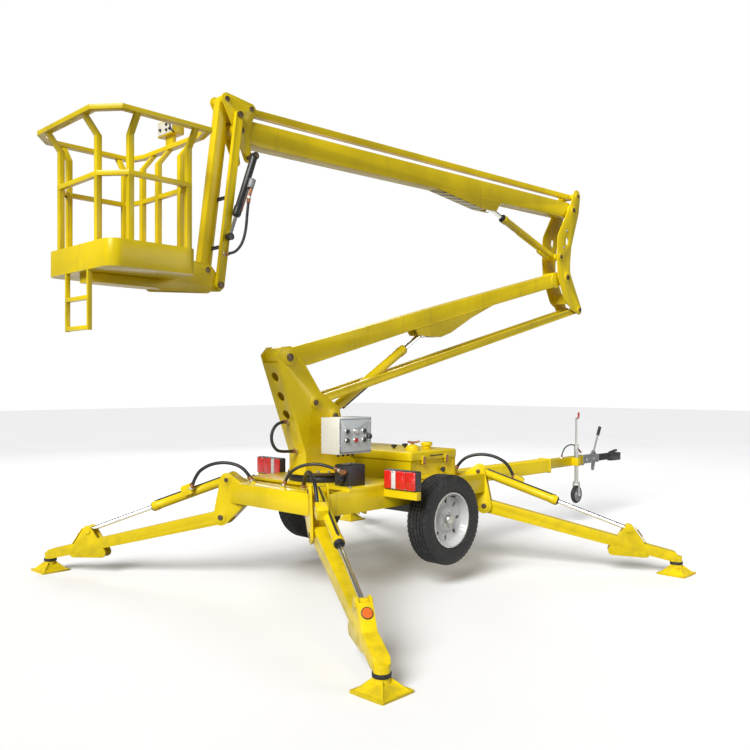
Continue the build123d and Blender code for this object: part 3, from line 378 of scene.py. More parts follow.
def bead(name, body, points, size=0.0, pitch=0.007, cyclic=False):
    """A painted, rippled weld bead along straight runs."""
    size = size or bpy.context.scene.lift_fittings.weld_size
    ends = points + points[:1] if cyclic else points
    beads = []
    for start, end in zip(ends, ends[1:]):
        start, end = Vector(start), Vector(end)
        count = max(2, int((end - start).length / pitch))
        beads += [start.lerp(end, step / count) for step in range(count)]
    if not cyclic:
        beads.append(Vector(ends[-1]))
    piece = line(name, beads, size, cyclic=cyclic, ripple=0.28, sides=1)
    return dress(piece, body, yellow_enamel, angle=80)


def hex_bolt(flats, thick, washer=1.75):
    """A bolt head on its washer, standing on local Z."""
    let_go()
    bpy.ops.mesh.primitive_cylinder_add(vertices=6, radius=flats / 2 / cos(pi / 6), depth=thick)
    head = named("bolt_head")
    head.data.transform(Matrix.Translation((0, 0, thick / 2 + 0.002)))
    rounded(head, flats * 0.06, 1)
    base = flats * washer / 2
    ring = turned("bolt_washer", Matrix.Identity(4), [
        (0, 0.0005), (base, 0.0005), (base, 0.0022), (0, 0.0022)], 20)
    return join([head, ring], "bolt")


def bolt_set(name, body, flats, thick, placings):
    """Zinc bolts, all modelled after one and joined into one piece."""
    return dress(copies(hex_bolt(flats, thick), placings, name), body, zinc)


def dress(piece, body, maker, *replaced, angle=38):
    """Gives a piece the finish of that function and its body, and hides the nodes that it stands for."""
    smooth(piece, angle)
    piece.data.materials.clear()
    piece.data.materials.append(finish_of(maker))
    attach(piece, body)
    if replaced:
        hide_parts(*replaced)
    return piece


def fit(name, body, maker, placing, profile, steps=32):
    """A spun piece with its finish and body."""
    return dress(turned(name, placing, profile, steps), body, maker)


class Wire:
    """An output socket that takes Python's arithmetic and adds the Math nodes."""

    def __init__(self, tree, socket):
        self.tree = tree
        self.socket = socket

    def maths(self, kind, *values, clamp=False):
        node = self.tree.nodes.new("ShaderNodeMath")
        node.operation = kind
        node.use_clamp = clamp
        for slot, value in zip(node.inputs, values):
            if isinstance(value, Wire):
                self.tree.links.new(value.socket, slot)
            else:
                slot.default_value = value
        return Wire(self.tree, node.outputs[0])

    def __add__(self, other):
        return self.maths("ADD", self, other)

    __radd__ = __add__

    def __sub__(self, other):
        return self.maths("SUBTRACT", self, other)

    def __rsub__(self, other):
        return self.maths("SUBTRACT", other, self)

    def __mul__(self, other):
        return self.maths("MULTIPLY", self, other)

    __rmul__ = __mul__

    def above(self, edge):
        return self.maths("GREATER_THAN", self, edge)

    def sine(self):
        return self.maths("SINE", self)

    def clamped(self):
        return self.maths("ADD", self, 0.0, clamp=True)


class Finish:
    """One material, built from nodes."""

    def __init__(self, name):
        self.material = bpy.data.materials.new(name)
        self.material.use_nodes = True
        self.tree = self.material.node_tree
        self.shader = self.tree.nodes["Principled BSDF"]

    def node(self, kind, settings=None, output=0, **values):
        """A node with its settings first, then the values or links of its sockets."""
        made = self.tree.nodes.new(kind)
        for key, value in (settings or {}).items():
            setattr(made, key, value)
        for key, value in values.items():
            numbered = key[0] == "n" and key[1:].isdigit()
            socket = made.inputs[int(key[1:]) if numbered else key.replace("_", " ")]
            if isinstance(value, Wire):
                self.tree.links.new(value.socket, socket)
            elif isinstance(value, tuple) and len(value) == 3 and socket.type == "RGBA":
                socket.default_value = (*value, 1)
            else:
                socket.default_value = value
        return Wire(self.tree, made.outputs[output])

    def place(self):
        return self.node("ShaderNodeTexCoord", output="Object")

    def noise(self, scale, detail, roughness, vector=None):
        return self.node("ShaderNodeTexNoise", Scale=scale, Detail=detail, Roughness=roughness,
                         Vector=vector or self.place(), output="Fac")

    def band(self, value, low, high):
        """0 below low, 1 above high."""
        return self.node("ShaderNodeMapRange", {"interpolation_type": "SMOOTHSTEP"}, Value=value,
                         From_Min=low, From_Max=high)

    def mix(self, share, first, second):
        """Two colours, mixed."""
        return self.node("ShaderNodeMix", {"data_type": "RGBA"}, output=2, n0=share, n6=first, n7=second)

    def axis(self, which):
        return self.node("ShaderNodeSeparateXYZ", Vector=self.place(), output=which)

    def finish(self, colour, rough, bump=None, bump_height=0.0005, **numbers):
        """Feeds the shader; plain numbers go on its own sockets."""
        self.tree.links.new(colour.socket, self.shader.inputs["Base Color"])
        if isinstance(rough, Wire):
            self.tree.links.new(rough.socket, self.shader.inputs["Roughness"])
        else:
            self.shader.inputs["Roughness"].default_value = rough
        if bump is not None:
            raised = self.node("ShaderNodeBump", Height=bump, Distance=bump_height, Strength=1.0)
            self.tree.links.new(raised.socket, self.shader.inputs["Normal"])
        for key, value in numbers.items():
            self.shader.inputs[key.replace("_", " ")].default_value = value
        return self.material


finishes = {}


def finish_of(maker):
    """The material that a function makes, made once."""
    if maker.__name__ not in finishes:
        finishes[maker.__name__] = maker()
    return finishes[maker.__name__]


def paint():
    return bpy.context.scene.lift_paint


def enamel(name, colour, wear, cleaner=1.0, gloss=0.5, coat=0.3):
    """Sprayed machine enamel: cloudy tone, dust and dirt low down, and orange peel."""
    made = Finish(name)
    cloud = made.noise(1.7, 4, 0.55)
    streak_place = made.node("ShaderNodeMapping", Vector=made.place(), Scale=(9.0, 9.0, 1.4))
    streak = made.noise(1.0, 5, 0.62, streak_place)
    speck = made.noise(55, 3, 0.7)
    grime = made.band(streak, 0.56, 0.74) * 0.30 * cleaner + made.band(speck, 0.66, 0.8) * 0.22 * cleaner
    splash = made.band(made.noise(14, 4, 0.6), 0.42, 0.66)
    low_down = made.band(made.axis(2), 0.75, 0.0) * splash * 0.35 * cleaner
    deep = tuple(channel * 0.80 for channel in colour)
    tone = made.mix(made.band(cloud, 0.35, 0.66), colour, deep)
    soiled = made.mix((grime + low_down).clamped(), tone, wear)
    peel = made.noise(340, 2, 0.5) * 0.5 + made.noise(38, 3, 0.55) * 0.9
    rough = made.band(cloud, 0.3, 0.8) * 0.10 + (grime + low_down) * 0.45 + 0.27
    return made.finish(soiled, rough, peel, 0.00022, Coat_Weight=coat, Coat_Roughness=0.12,
                       Specular_IOR_Level=gloss)


def yellow_enamel():
    return enamel("yellow_enamel", tuple(paint().yellow), tuple(paint().dirt), 1.0, 0.22, 0.10)


def box_enamel():
    return enamel("box_enamel", tuple(paint().box_grey), (0.34, 0.35, 0.31), 0.5)


def wheel_enamel():
    return enamel("wheel_enamel", tuple(paint().rim_white), (0.30, 0.27, 0.22), 0.8)


def black_steel():
    """Satin black paint with grey scuffs."""
    made = Finish("black_steel")
    scuff = made.band(made.noise(60, 4, 0.7), 0.58, 0.72)
    tone = made.mix(scuff * 0.5, (0.018, 0.018, 0.019), (0.075, 0.07, 0.062))
    peel = made.noise(420, 2, 0.5)
    return made.finish(tone, scuff * 0.2 + 0.42, peel, 0.0002, Coat_Weight=0.1)


def chrome():
    """Hard chrome on the cylinder rods, with a fine grain and oil."""
    made = Finish("chrome")
    film = made.band(made.noise(24, 3, 0.6), 0.45, 0.75)
    tone = made.mix(film * 0.6, (0.80, 0.81, 0.82), (0.55, 0.54, 0.50))
    return made.finish(tone, film * 0.16 + 0.10, made.noise(900, 1, 0.4), 0.00003, Metallic=1.0)


def clouded(name, scale, light, deep, spread, base, grain, height, metallic):
    """Metal with a cloudy skin in two tones, rougher where it is deep."""
    made = Finish(name)
    cloud = made.noise(scale, 4, 0.65)
    tone = made.mix(made.band(cloud, 0.35, 0.7), light, deep)
    rough = made.band(cloud, 0.3, 0.8) * spread + base
    return made.finish(tone, rough, made.noise(*grain), height, Metallic=metallic)


def zinc():
    """Bright zinc on pins, bolts and fittings, with cloudy passivation."""
    return clouded("zinc", 70, (0.66, 0.66, 0.63), (0.42, 0.41, 0.37), 0.25, 0.28, (600, 2, 0.5),
                   0.00008, 0.95)


def pin_steel():
    """Oiled brown steel of the pins' ends."""
    return clouded("pin_steel", 90, (0.16, 0.105, 0.06), (0.055, 0.04, 0.03), 0.25, 0.36, (500, 3, 0.6),
                   0.0001, 0.7)


def brown_zinc():
    """Yellow-brown passivated steel of the hose ends and valves."""
    return clouded("brown_zinc", 120, (0.42, 0.20, 0.10), (0.20, 0.085, 0.045), 0.2, 0.32, (700, 2, 0.5),
                   0.00008, 0.6)


def cast_grey():
    """Painted grey casting of the coupler."""
    made = Finish("cast_grey")
    cloud = made.noise(30, 5, 0.7)
    tone = made.mix(made.band(cloud, 0.4, 0.7), (0.30, 0.31, 0.32), (0.17, 0.17, 0.165))
    return made.finish(tone, 0.52, made.noise(260, 5, 0.75), 0.0006, Metallic=0.35)


def rubber():
    """Tyre and grip rubber with dust in its grain."""
    made = Finish("rubber")
    dust = made.band(made.noise(26, 5, 0.65), 0.46, 0.75)
    tone = made.mix(dust * 0.5, tuple(paint().rubber), (0.085, 0.08, 0.072))
    return made.finish(tone, dust * 0.16 + 0.55, made.noise(520, 3, 0.6), 0.0003, Specular_IOR_Level=0.35)


def hose_rubber():
    """Hose cover with a wrapped cloth print across the hose."""
    made = Finish("hose_rubber")
    wrap = (made.axis(0) * 900 + made.axis(2) * 900 + made.axis(1) * 900).sine()
    dust = made.band(made.noise(40, 4, 0.6), 0.5, 0.8)
    tone = made.mix(dust * 0.35, (0.013, 0.013, 0.014), (0.07, 0.065, 0.06))
    return made.finish(tone, dust * 0.2 + 0.36, wrap * 0.5 + made.noise(500, 2, 0.5), 0.00025)


def plastic(name, light, deep, base, grain, height):
    """Moulded plastic with a faint haze."""
    made = Finish(name)
    haze = made.noise(90, 3, 0.6)
    tone = made.mix(made.band(haze, 0.4, 0.75), light, deep)
    return made.finish(tone, made.band(haze, 0.3, 0.8) * 0.15 + base, made.noise(grain, 2, 0.5), height)


def black_plastic():
    return plastic("black_plastic", (0.016, 0.016, 0.017), (0.04, 0.04, 0.042), 0.38, 800, 0.00012)


def red_plastic():
    return plastic("red_plastic", (0.50, 0.015, 0.012), (0.30, 0.012, 0.010), 0.28, 700, 0.0001)


def lens(name, colour):
    """Moulded lamp lens: fine prism ribs under a clear gloss."""
    made = Finish(name)
    ribs = (made.axis(1) * 1400).sine() * 0.5 + (made.axis(2) * 1400).sine() * 0.5
    shade = made.noise(60, 2, 0.5)
    tone = made.mix(made.band(shade, 0.4, 0.7) * 0.4, colour, tuple(channel * 0.6 for channel in colour))
    return made.finish(tone, shade * 0.08 + 0.12, ribs, 0.0004, Coat_Weight=0.6, Coat_Roughness=0.04)


def red_lens():
    return lens("red_lens", tuple(paint().lens_red))


def white_lens():
    return lens("white_lens", (0.78, 0.78, 0.76))


def amber_lens():
    return lens("amber_lens", (0.80, 0.16, 0.02))


def hazard_stripes():
    """Slanted black and yellow warning bands."""
    made = Finish("hazard_stripes")
    slant = (made.axis(0) * 55 + made.axis(1) * 48).sine().above(0.05)
    tone = made.mix(slant, tuple(paint().yellow), (0.012, 0.012, 0.012))
    soil = made.band(made.noise(45, 4, 0.65), 0.55, 0.8)
    worn = made.mix(soil * 0.3, tone, tuple(paint().dirt))
    return made.finish(worn, soil * 0.2 + 0.32, made.noise(340, 2, 0.5), 0.0002)


def cream_enamel():
    return enamel("cream_enamel", (0.80, 0.77, 0.66), (0.38, 0.35, 0.26), 0.4)


def chequer_plate():
    """Yellow tread plate: crossed raised bars, rubbed bright on top."""
    made = Finish("chequer_plate")
    one = (made.axis(0) * 150 + made.axis(1) * 150).sine().above(0.86)
    two = (made.axis(0) * 150 - made.axis(1) * 150).sine().above(0.86)
    bars = (one + two).clamped()
    soil = made.band(made.noise(18, 5, 0.65), 0.42, 0.74)
    painted = made.mix(soil * 0.6, tuple(paint().yellow), tuple(paint().dirt))
    tone = made.mix(bars * 0.5, painted, (0.62, 0.58, 0.40))
    return made.finish(tone, soil * 0.25 + 0.38, bars + made.noise(300, 2, 0.5) * 0.2, 0.0014)


def floor_grey():
    made = Finish("floor_grey")
    tone = bpy.context.scene.lift_stage.floor_tone
    cloud = made.noise(0.5, 2, 0.5)
    shade = made.mix(made.band(cloud, 0.3, 0.7), (tone, tone, tone), (tone * 0.98, tone * 0.98, tone * 0.98))
    return made.finish(shade, 0.8)


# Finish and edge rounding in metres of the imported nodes, with the starts of the nodes' names
steelwork = (
    (yellow_enamel, 0.008, "drawbar"),
    (yellow_enamel, 0.006, "chassis_frame lower_boom upper_boom"),
    (yellow_enamel, 0.005, "lower_tie jib_tie leg"),
    (yellow_enamel, 0.004, "power_pack pack_filler_cap upper_tie jib basket_panel basket"),
    (yellow_enamel, 0.003, "jockey_clamp basket_carrier"),
    (yellow_enamel, 0.0025, "tower elbow head_link"),
    (yellow_enamel, 0.002, "outrigger_brackets lamp_bracket control_bracket"),
    (yellow_enamel, 0.002, "lower_cylinder upper_cylinder leg_cylinder"),
    (black_steel, 0.004, "axle"), (black_steel, 0.003, "slew_ring"), (black_steel, 0.002, "jib_cylinder"),
    (cast_grey, 0.004, "coupler"), (cast_grey, 0.002, "handbrake_lever"),
    (black_plastic, 0.004, "tail_lamps valve_box"), (box_enamel, 0.004, "control_box"),
    (wheel_enamel, 0.002, "wheel"), (rubber, 0.006, "jockey_wheel"),
    (zinc, 0.0015, "jockey_tube jockey_fork"), (chrome, 0.001, "jib_rod lower_rod upper_rod leg_rod"))
finish_by_start = {start: (maker, edge) for maker, edge, starts in steelwork for start in starts.split()}


def body_of(node):
    return nodes[node]["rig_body"]


def beside(plane_y):
    """Faces that stand further out to the sides than that."""
    return lambda node, place: abs(place.y) > plane_y


def leg_of(node):
    return next(leg for leg in legs if node.endswith(leg.corner))


def bracket_pin(node, place):
    leg = min(legs, key=lambda leg: (place - leg.pivot).length)
    return abs(leg.local(place)[2]) > 0.0725


def leg_pipe(node, place):
    """The pipe on top of a leg cylinder."""
    out, up, aside = leg_of(node).local(place)
    along = (leg_eye_pin - leg_base_pin).normalized()
    step = Vector((out, up)) - leg_base_pin
    return abs(aside) < 0.0075 and step.dot(Vector((-along.y, along.x))) > 0.034 and step.length < 0.60


def below_cylinder(far):
    """The pipe below the lower boom's cylinder, or the fittings at its far end."""
    def test(node, place):
        foot, along = at("lower_cylinder_swing"), Vector(joints["lower_cylinder_stroke"]["axis"])
        step = place - foot
        drop = step - along * step.dot(along)
        return drop.z < -0.038 and (step.length > 0.58) == far
    return test


def above_cylinder(node, place):
    foot, along = at("upper_cylinder_swing"), Vector(joints["upper_cylinder_stroke"]["axis"])
    step = place - foot
    rise = step - along * step.dot(along)
    return rise.z > 0.030 and step.length > 0.085


def leg_rod_eye(node, place):
    out, up, aside = leg_of(node).local(place)
    return (Vector((out, up)) - leg_eye_pin).length < 0.034


def jib_rod_eye(node, place):
    return (Vector((place.x, 0, place.z)) - jib_eye).length < 0.031


def wheel_fixings(node, place):
    radius = Vector((place.x - wheel_hub.x, place.z - wheel_hub.z)).length
    return abs(place.y) > 0.8165 and radius < 0.075 and (radius < 0.041 or radius > 0.049)


def jockey_rim(node, place):
    return Vector((place.x - jockey_hub.x, place.z - jockey_hub.z)).length < 0.077


def basket_floor(node, place):
    """The top of the basket's floor, not its walls or rails."""
    middle = (Vector(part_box("basket")[0]) + Vector(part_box("basket")[1])) / 2
    floor_top = jib_tie_end.z - 0.098 + 0.012
    return abs(place.z - floor_top) < 0.0015 and abs(place.x - middle.x) < 0.25 and abs(place.y) < 0.35


# Where the finish changes on some nodes
jib_valve_y, jib_valve_z = -0.1825, 2.935
bellows_x, coupler_head_x = pad_mid_x + 4.0005, pad_mid_x + 4.30
jockey_grip_z = 1.1995
control_rear_x = slew_x - 0.315

# Places on a node that take another finish: start of the node's name, test of a face's middle, finish
zones = (
    ("elbow", beside(0.1065), pin_steel), ("tower", beside(0.1085), pin_steel),
    ("head_link", beside(0.0765), pin_steel), ("basket_carrier", beside(0.0775), pin_steel),
    ("outrigger_brackets", bracket_pin, pin_steel),
    ("leg_cylinder", leg_pipe, black_steel),
    ("lower_cylinder", below_cylinder(False), black_steel),
    ("lower_cylinder", below_cylinder(True), brown_zinc),
    ("upper_cylinder", above_cylinder, zinc),
    ("leg_rod", leg_rod_eye, yellow_enamel), ("jib_rod", jib_rod_eye, black_steel),
    ("jib_cylinder", lambda node, place: place.y < jib_valve_y, cast_grey),
    ("jib_cylinder", lambda node, place: place.y < jib_valve_y and place.z < jib_valve_z, brown_zinc),
    # Faces of the jib between its two side bars are painted black: partly the dark cross tubes there, partly
    # painted shade in the gap between the bars.
    ("jib", lambda node, place: node == "jib" and abs(place.y) < 0.07, black_steel),
    ("coupler", lambda node, place: place.x > coupler_head_x, black_steel),
    ("coupler", lambda node, place: bellows_x < place.x < coupler_head_x, rubber),
    ("jockey_tube", lambda node, place: place.z > jockey_grip_z, red_plastic),
    ("wheel_", wheel_fixings, zinc),
    ("jockey_wheel", jockey_rim, cast_grey),
    ("basket", basket_floor, chequer_plate),
    ("control_box", lambda node, place: place.x < control_rear_x, cream_enamel))


def paint_zones(piece, node):
    """Gives the faces of each zone of a node their own finish."""
    for prefix, test, maker in zones:
        if not node.startswith(prefix):
            continue
        piece.data.materials.append(finish_of(maker))
        slot = len(piece.data.materials) - 1
        for face in piece.data.polygons:
            if test(node, face.center):
                face.material_index = slot


def rounded_node(node, edge):
    """A merged copy of a node's mesh with its flat faces whole and its edges rounded."""
    thing = added(f"{node}_finished", nodes[node].data.copy())
    take(thing)
    bpy.ops.object.mode_set(mode="EDIT")
    bpy.ops.mesh.select_all(action="SELECT")
    bpy.ops.mesh.customdata_custom_splitnormals_clear()
    bpy.ops.mesh.remove_doubles(threshold=2e-6)
    bpy.ops.mesh.dissolve_limited(angle_limit=radians(1.0))
    bpy.ops.mesh.mark_sharp(clear=True)
    bpy.ops.object.mode_set(mode="OBJECT")
    return rounded(thing, edge, 2, 34)


# Nodes that a piece of their own replaces
cord_nodes = set(frame["record"]["physics"]["cord_nodes"])
remade = cord_nodes | {"tyre_left", "tyre_right"}
wheel_hub = at("wheel_left_spin")
jockey_hub = at("jockey_wheel_spin")


class LIFT_OT_steelwork(bpy.types.Operator):
    """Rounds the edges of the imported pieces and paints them"""
    bl_idname = "lift.steelwork"
    bl_label = "Finish the steelwork"

    def execute(self, context):
        for node in sorted(set(nodes) - remade):
            # The longest start that fits the node's name counts
            start = max((start for start in finish_by_start if node.startswith(start)), key=len)
            maker, edge = finish_by_start[start]
            piece = rounded_node(node, edge)
            dress(piece, body_of(node), maker, node)
            paint_zones(piece, node)
        return {"FINISHED"}


def route_of(thing):
    """The points that a spline runs through."""
    mesh = bpy.data.meshes.new_from_object(thing)
    path = [vertex.co.copy() for vertex in mesh.vertices]
    bpy.data.meshes.remove(mesh)
    return path


def run_length(path):
    return sum((after - before).length for before, after in zip(path, path[1:]))


def hose_end(name, end, beyond, thickness, stub, body):
    """The swaged ferrule and hexagon nut at a hose's end; stub is the radius of the boss behind them."""
    placing = aimed(end, Vector(beyond) - Vector(end))
    radius = thickness / 2
    sleeve = [(radius * 0.8, 0.0), (radius + 0.0030, 0.0), (radius + 0.0036, 0.003)]
    for ring in range(3):
        low = 0.006 + 0.007 * ring
        sleeve += [(radius + 0.0036, low), (radius + 0.0022, low + 0.002), (radius + 0.0036, low + 0.004)]
    sleeve += [(radius + 0.0030, 0.028), (radius * 0.8, 0.030)]
    fit(f"{name}_ferrule", body, brown_zinc, placing, sleeve, 28)
    let_go()
    bpy.ops.mesh.primitive_cylinder_add(vertices=6, radius=(stub + 0.001) / cos(pi / 6), depth=0.016)
    nut = named(f"{name}_nut")
    nut.data.transform(placing @ Matrix.Translation((0, 0, -0.0085)))
    rounded(nut, 0.0012, 2)
    dress(nut, body, zinc)


# Control points of the hoses' splines, metres
leg_hose_route = (
    (-0.262, 0.306), (-0.214, 0.382), (-0.121, 0.430), (-0.001, 0.440), (0.115, 0.411), (0.213, 0.342),
    (0.252, 0.232))
leg_hose_aside = 0.066
deck_start = Vector((pad_mid_x - 0.900, -0.090, 0))
deck_end = Vector((slew_x - 0.260, -0.425, 0))
deck_hose_route = [
    deck_start.lerp(deck_end, share) + UP * height
    for share, height in (
        (0.0, 0.826), (0.07, 0.900), (0.26, 0.960), (0.51, 0.984), (0.78, 0.975), (1.0, 0.940))]
tower_hose_route = [
    Vector((slew_x + x, 0, z))
    for x, z in ((-0.402, 1.290), (-0.464, 1.290), (-0.517, 1.259), (-0.548, 1.206), (-0.548, 1.144),
                 (-0.517, 1.091), (-0.464, 1.060), (-0.318, 1.060))]
jib_hose_route = [
    Vector((pad_mid_x + x, y, z))
    for x, y, z in (
        (-1.312, -0.201, 2.885), (-1.325, -0.201, 2.790), (-1.336, -0.202, 2.670), (-1.362, -0.198, 2.570),
        (-1.402, -0.180, 2.508), (-1.436, -0.150, 2.491), (-1.448, -0.116, 2.491))]
brake_cable_route = [
    Vector((pad_mid_x + x, y, z))
    for x, y, z in (
        (3.165, -0.030, 0.758), (3.185, -0.030, 0.820), (3.245, -0.032, 0.872), (3.330, -0.034, 0.893),
        (3.420, -0.036, 0.887), (3.500, -0.038, 0.855), (3.560, -0.040, 0.800))]

# Hoses that ride on one body: node, route, thickness, body, radii of the bosses behind their two ends
plain_hoses = (
    ("hose_deck", deck_hose_route, 0.024, "chassis", 0.017, 0.017),
    ("hose_tower", tower_hose_route, 0.024, "turntable", 0.017, 0.017),
    ("hose_jib", jib_hose_route, 0.020, "jib", 0.014, 0.014),
    ("cable_drawbar", brake_cable_route, 0.014, "chassis", 0.012, 0.012))


class LIFT_OT_hoses(bpy.types.Operator):
    """Lays the hoses and the brake cable on their routes and fits their ends"""
    bl_idname = "lift.hoses"
    bl_label = "Lay the hoses"

    def execute(self, context):
        for leg in legs:
            name = f"hose_leg_{leg.corner}"
            points = [leg.at(out, up, leg.hose_side * leg_hose_aside) for out, up in leg_hose_route]
            hose = spline(name + "_rubber", points)
            path = route_of(hose)
            thicken(hose, 0.028 / 2)
            take(hose)
            bpy.ops.object.convert(target="MESH")
            hose = named(name + "_rubber")
            smooth(hose, 60)
            hose.data.materials.clear()
            hose.data.materials.append(finish_of(hose_rubber))
            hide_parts(name)
            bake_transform(hose)
            hose_end(name + "_start", points[0], points[1], 0.028, 0.020, "chassis")
            hose_end(name + "_far", points[-1], points[-2], 0.028, 0.019, f"leg_cylinder_{leg.corner}")
        for name, points, thickness, body, first_boss, last_boss in plain_hoses:
            hose = spline(name + "_rubber", points)
            length = run_length(route_of(hose))
            thicken(hose, thickness / 2)
            hose.data.materials.append(finish_of(hose_rubber))
            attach(hose, body)
            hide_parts(name)
            hose_end(name + "_start", points[0], points[1], thickness, first_boss, body)
            hose_end(name + "_far", points[-1], points[-2], thickness, last_boss, body)
        return {"FINISHED"}


def tyre(name, hand):
    """A road tyre: ribbed tread with cross sipes, shoulder blocks and ringed sidewalls."""
    half, top, seat = 0.100, 0.350, 0.2153
    tread = []
    for low, high in ((-0.070, -0.052), (-0.044, -0.020), (-0.012, 0.012), (0.020, 0.044), (0.052, 0.070)):
        tread += [(low - 0.0012, top - 0.009), (low, top - 0.001), (low + 0.002, top), (high - 0.002, top),
                  (high, top - 0.001), (high + 0.0012, top - 0.009)]
    right = [(0.0745, top - 0.009), (0.078, top - 0.004), (0.087, top - 0.012), (0.094, top - 0.028),
             (0.0965, top - 0.040), (0.0985, top - 0.046), (0.0985, top - 0.050), (half, top - 0.056),
             (half, seat + 0.052), (0.0985, seat + 0.046), (half * 0.985, seat + 0.040),
             (0.095, seat + 0.028), (0.090, seat + 0.020), (0.0895, seat + 0.012), (0.084, seat + 0.006),
             (0.074, seat), (0.074, seat - 0.0006)]
    left = [(-across, radius) for across, radius in reversed(right)]
    profile = [(radius, across) for across, radius in left + tread + right]
    profile += [(seat - 0.0006, -0.074)]
    hub = Vector((wheel_hub.x, hand * wheel_hub.y, wheel_hub.z))
    placing = Matrix.Translation(hub) @ Matrix.Rotation(radians(90), 4, "X")
    steps = 216
    thing = turned(name, Matrix.Identity(4), profile, steps)
    for vertex in thing.data.vertices:
        radius = Vector((vertex.co.x, vertex.co.y)).length
        slice_index = round(Vector((vertex.co.x, vertex.co.y)).angle_signed(Vector((1, 0))) / tau * steps)
        across = vertex.co.z
        sunk = 0.0
        if radius > top - 0.0015 and slice_index % 3 == round(across * 500) % 2:
            sunk = 0.006
        if 0.0775 < abs(across) < 0.097 and radius > top - 0.045 and slice_index % 4 < 2:
            sunk = 0.004
        if sunk:
            vertex.co.x *= (radius - sunk) / radius
            vertex.co.y *= (radius - sunk) / radius
    thing.data.transform(placing)
    return thing


class LIFT_OT_running_gear(bpy.types.Operator):
    """Makes the tyres with their tread, the wheel valves and the brake drums"""
    bl_idname = "lift.running_gear"
    bl_label = "Fit the tyres"

    def execute(self, context):
        for side_name, hand in (("left", 1), ("right", -1)):
            wheel = f"wheel_{side_name}"
            cover = tyre(f"tyre_{side_name}_treaded", hand)
            dress(cover, wheel, rubber, f"tyre_{side_name}", angle=28)
            stem_foot = Vector((wheel_hub.x + 0.185 * sin(0.4), hand * 0.798, wheel_hub.z + 0.185 * cos(0.4)))
            fit(wheel + "_valve", wheel, black_plastic, aimed(stem_foot, LEFT * hand), [
                (0, -0.006), (0.0055, -0.006), (0.0055, 0.010), (0.0040, 0.014), (0.0040, 0.030),
                (0.0046, 0.031), (0.0046, 0.038), (0, 0.039)], 20)
            drum_back = Vector((wheel_hub.x, hand * (wheel_hub.y - 0.060), wheel_hub.z))
            fit(wheel + "_drum", wheel, black_steel, aimed(drum_back, LEFT * hand), [
                (0.074, 0.0), (0.150, 0.0), (0.155, 0.004), (0.155, 0.050), (0.150, 0.056), (0.074, 0.056),
                (0.074, 0.0)], 64)
        return {"FINISHED"}


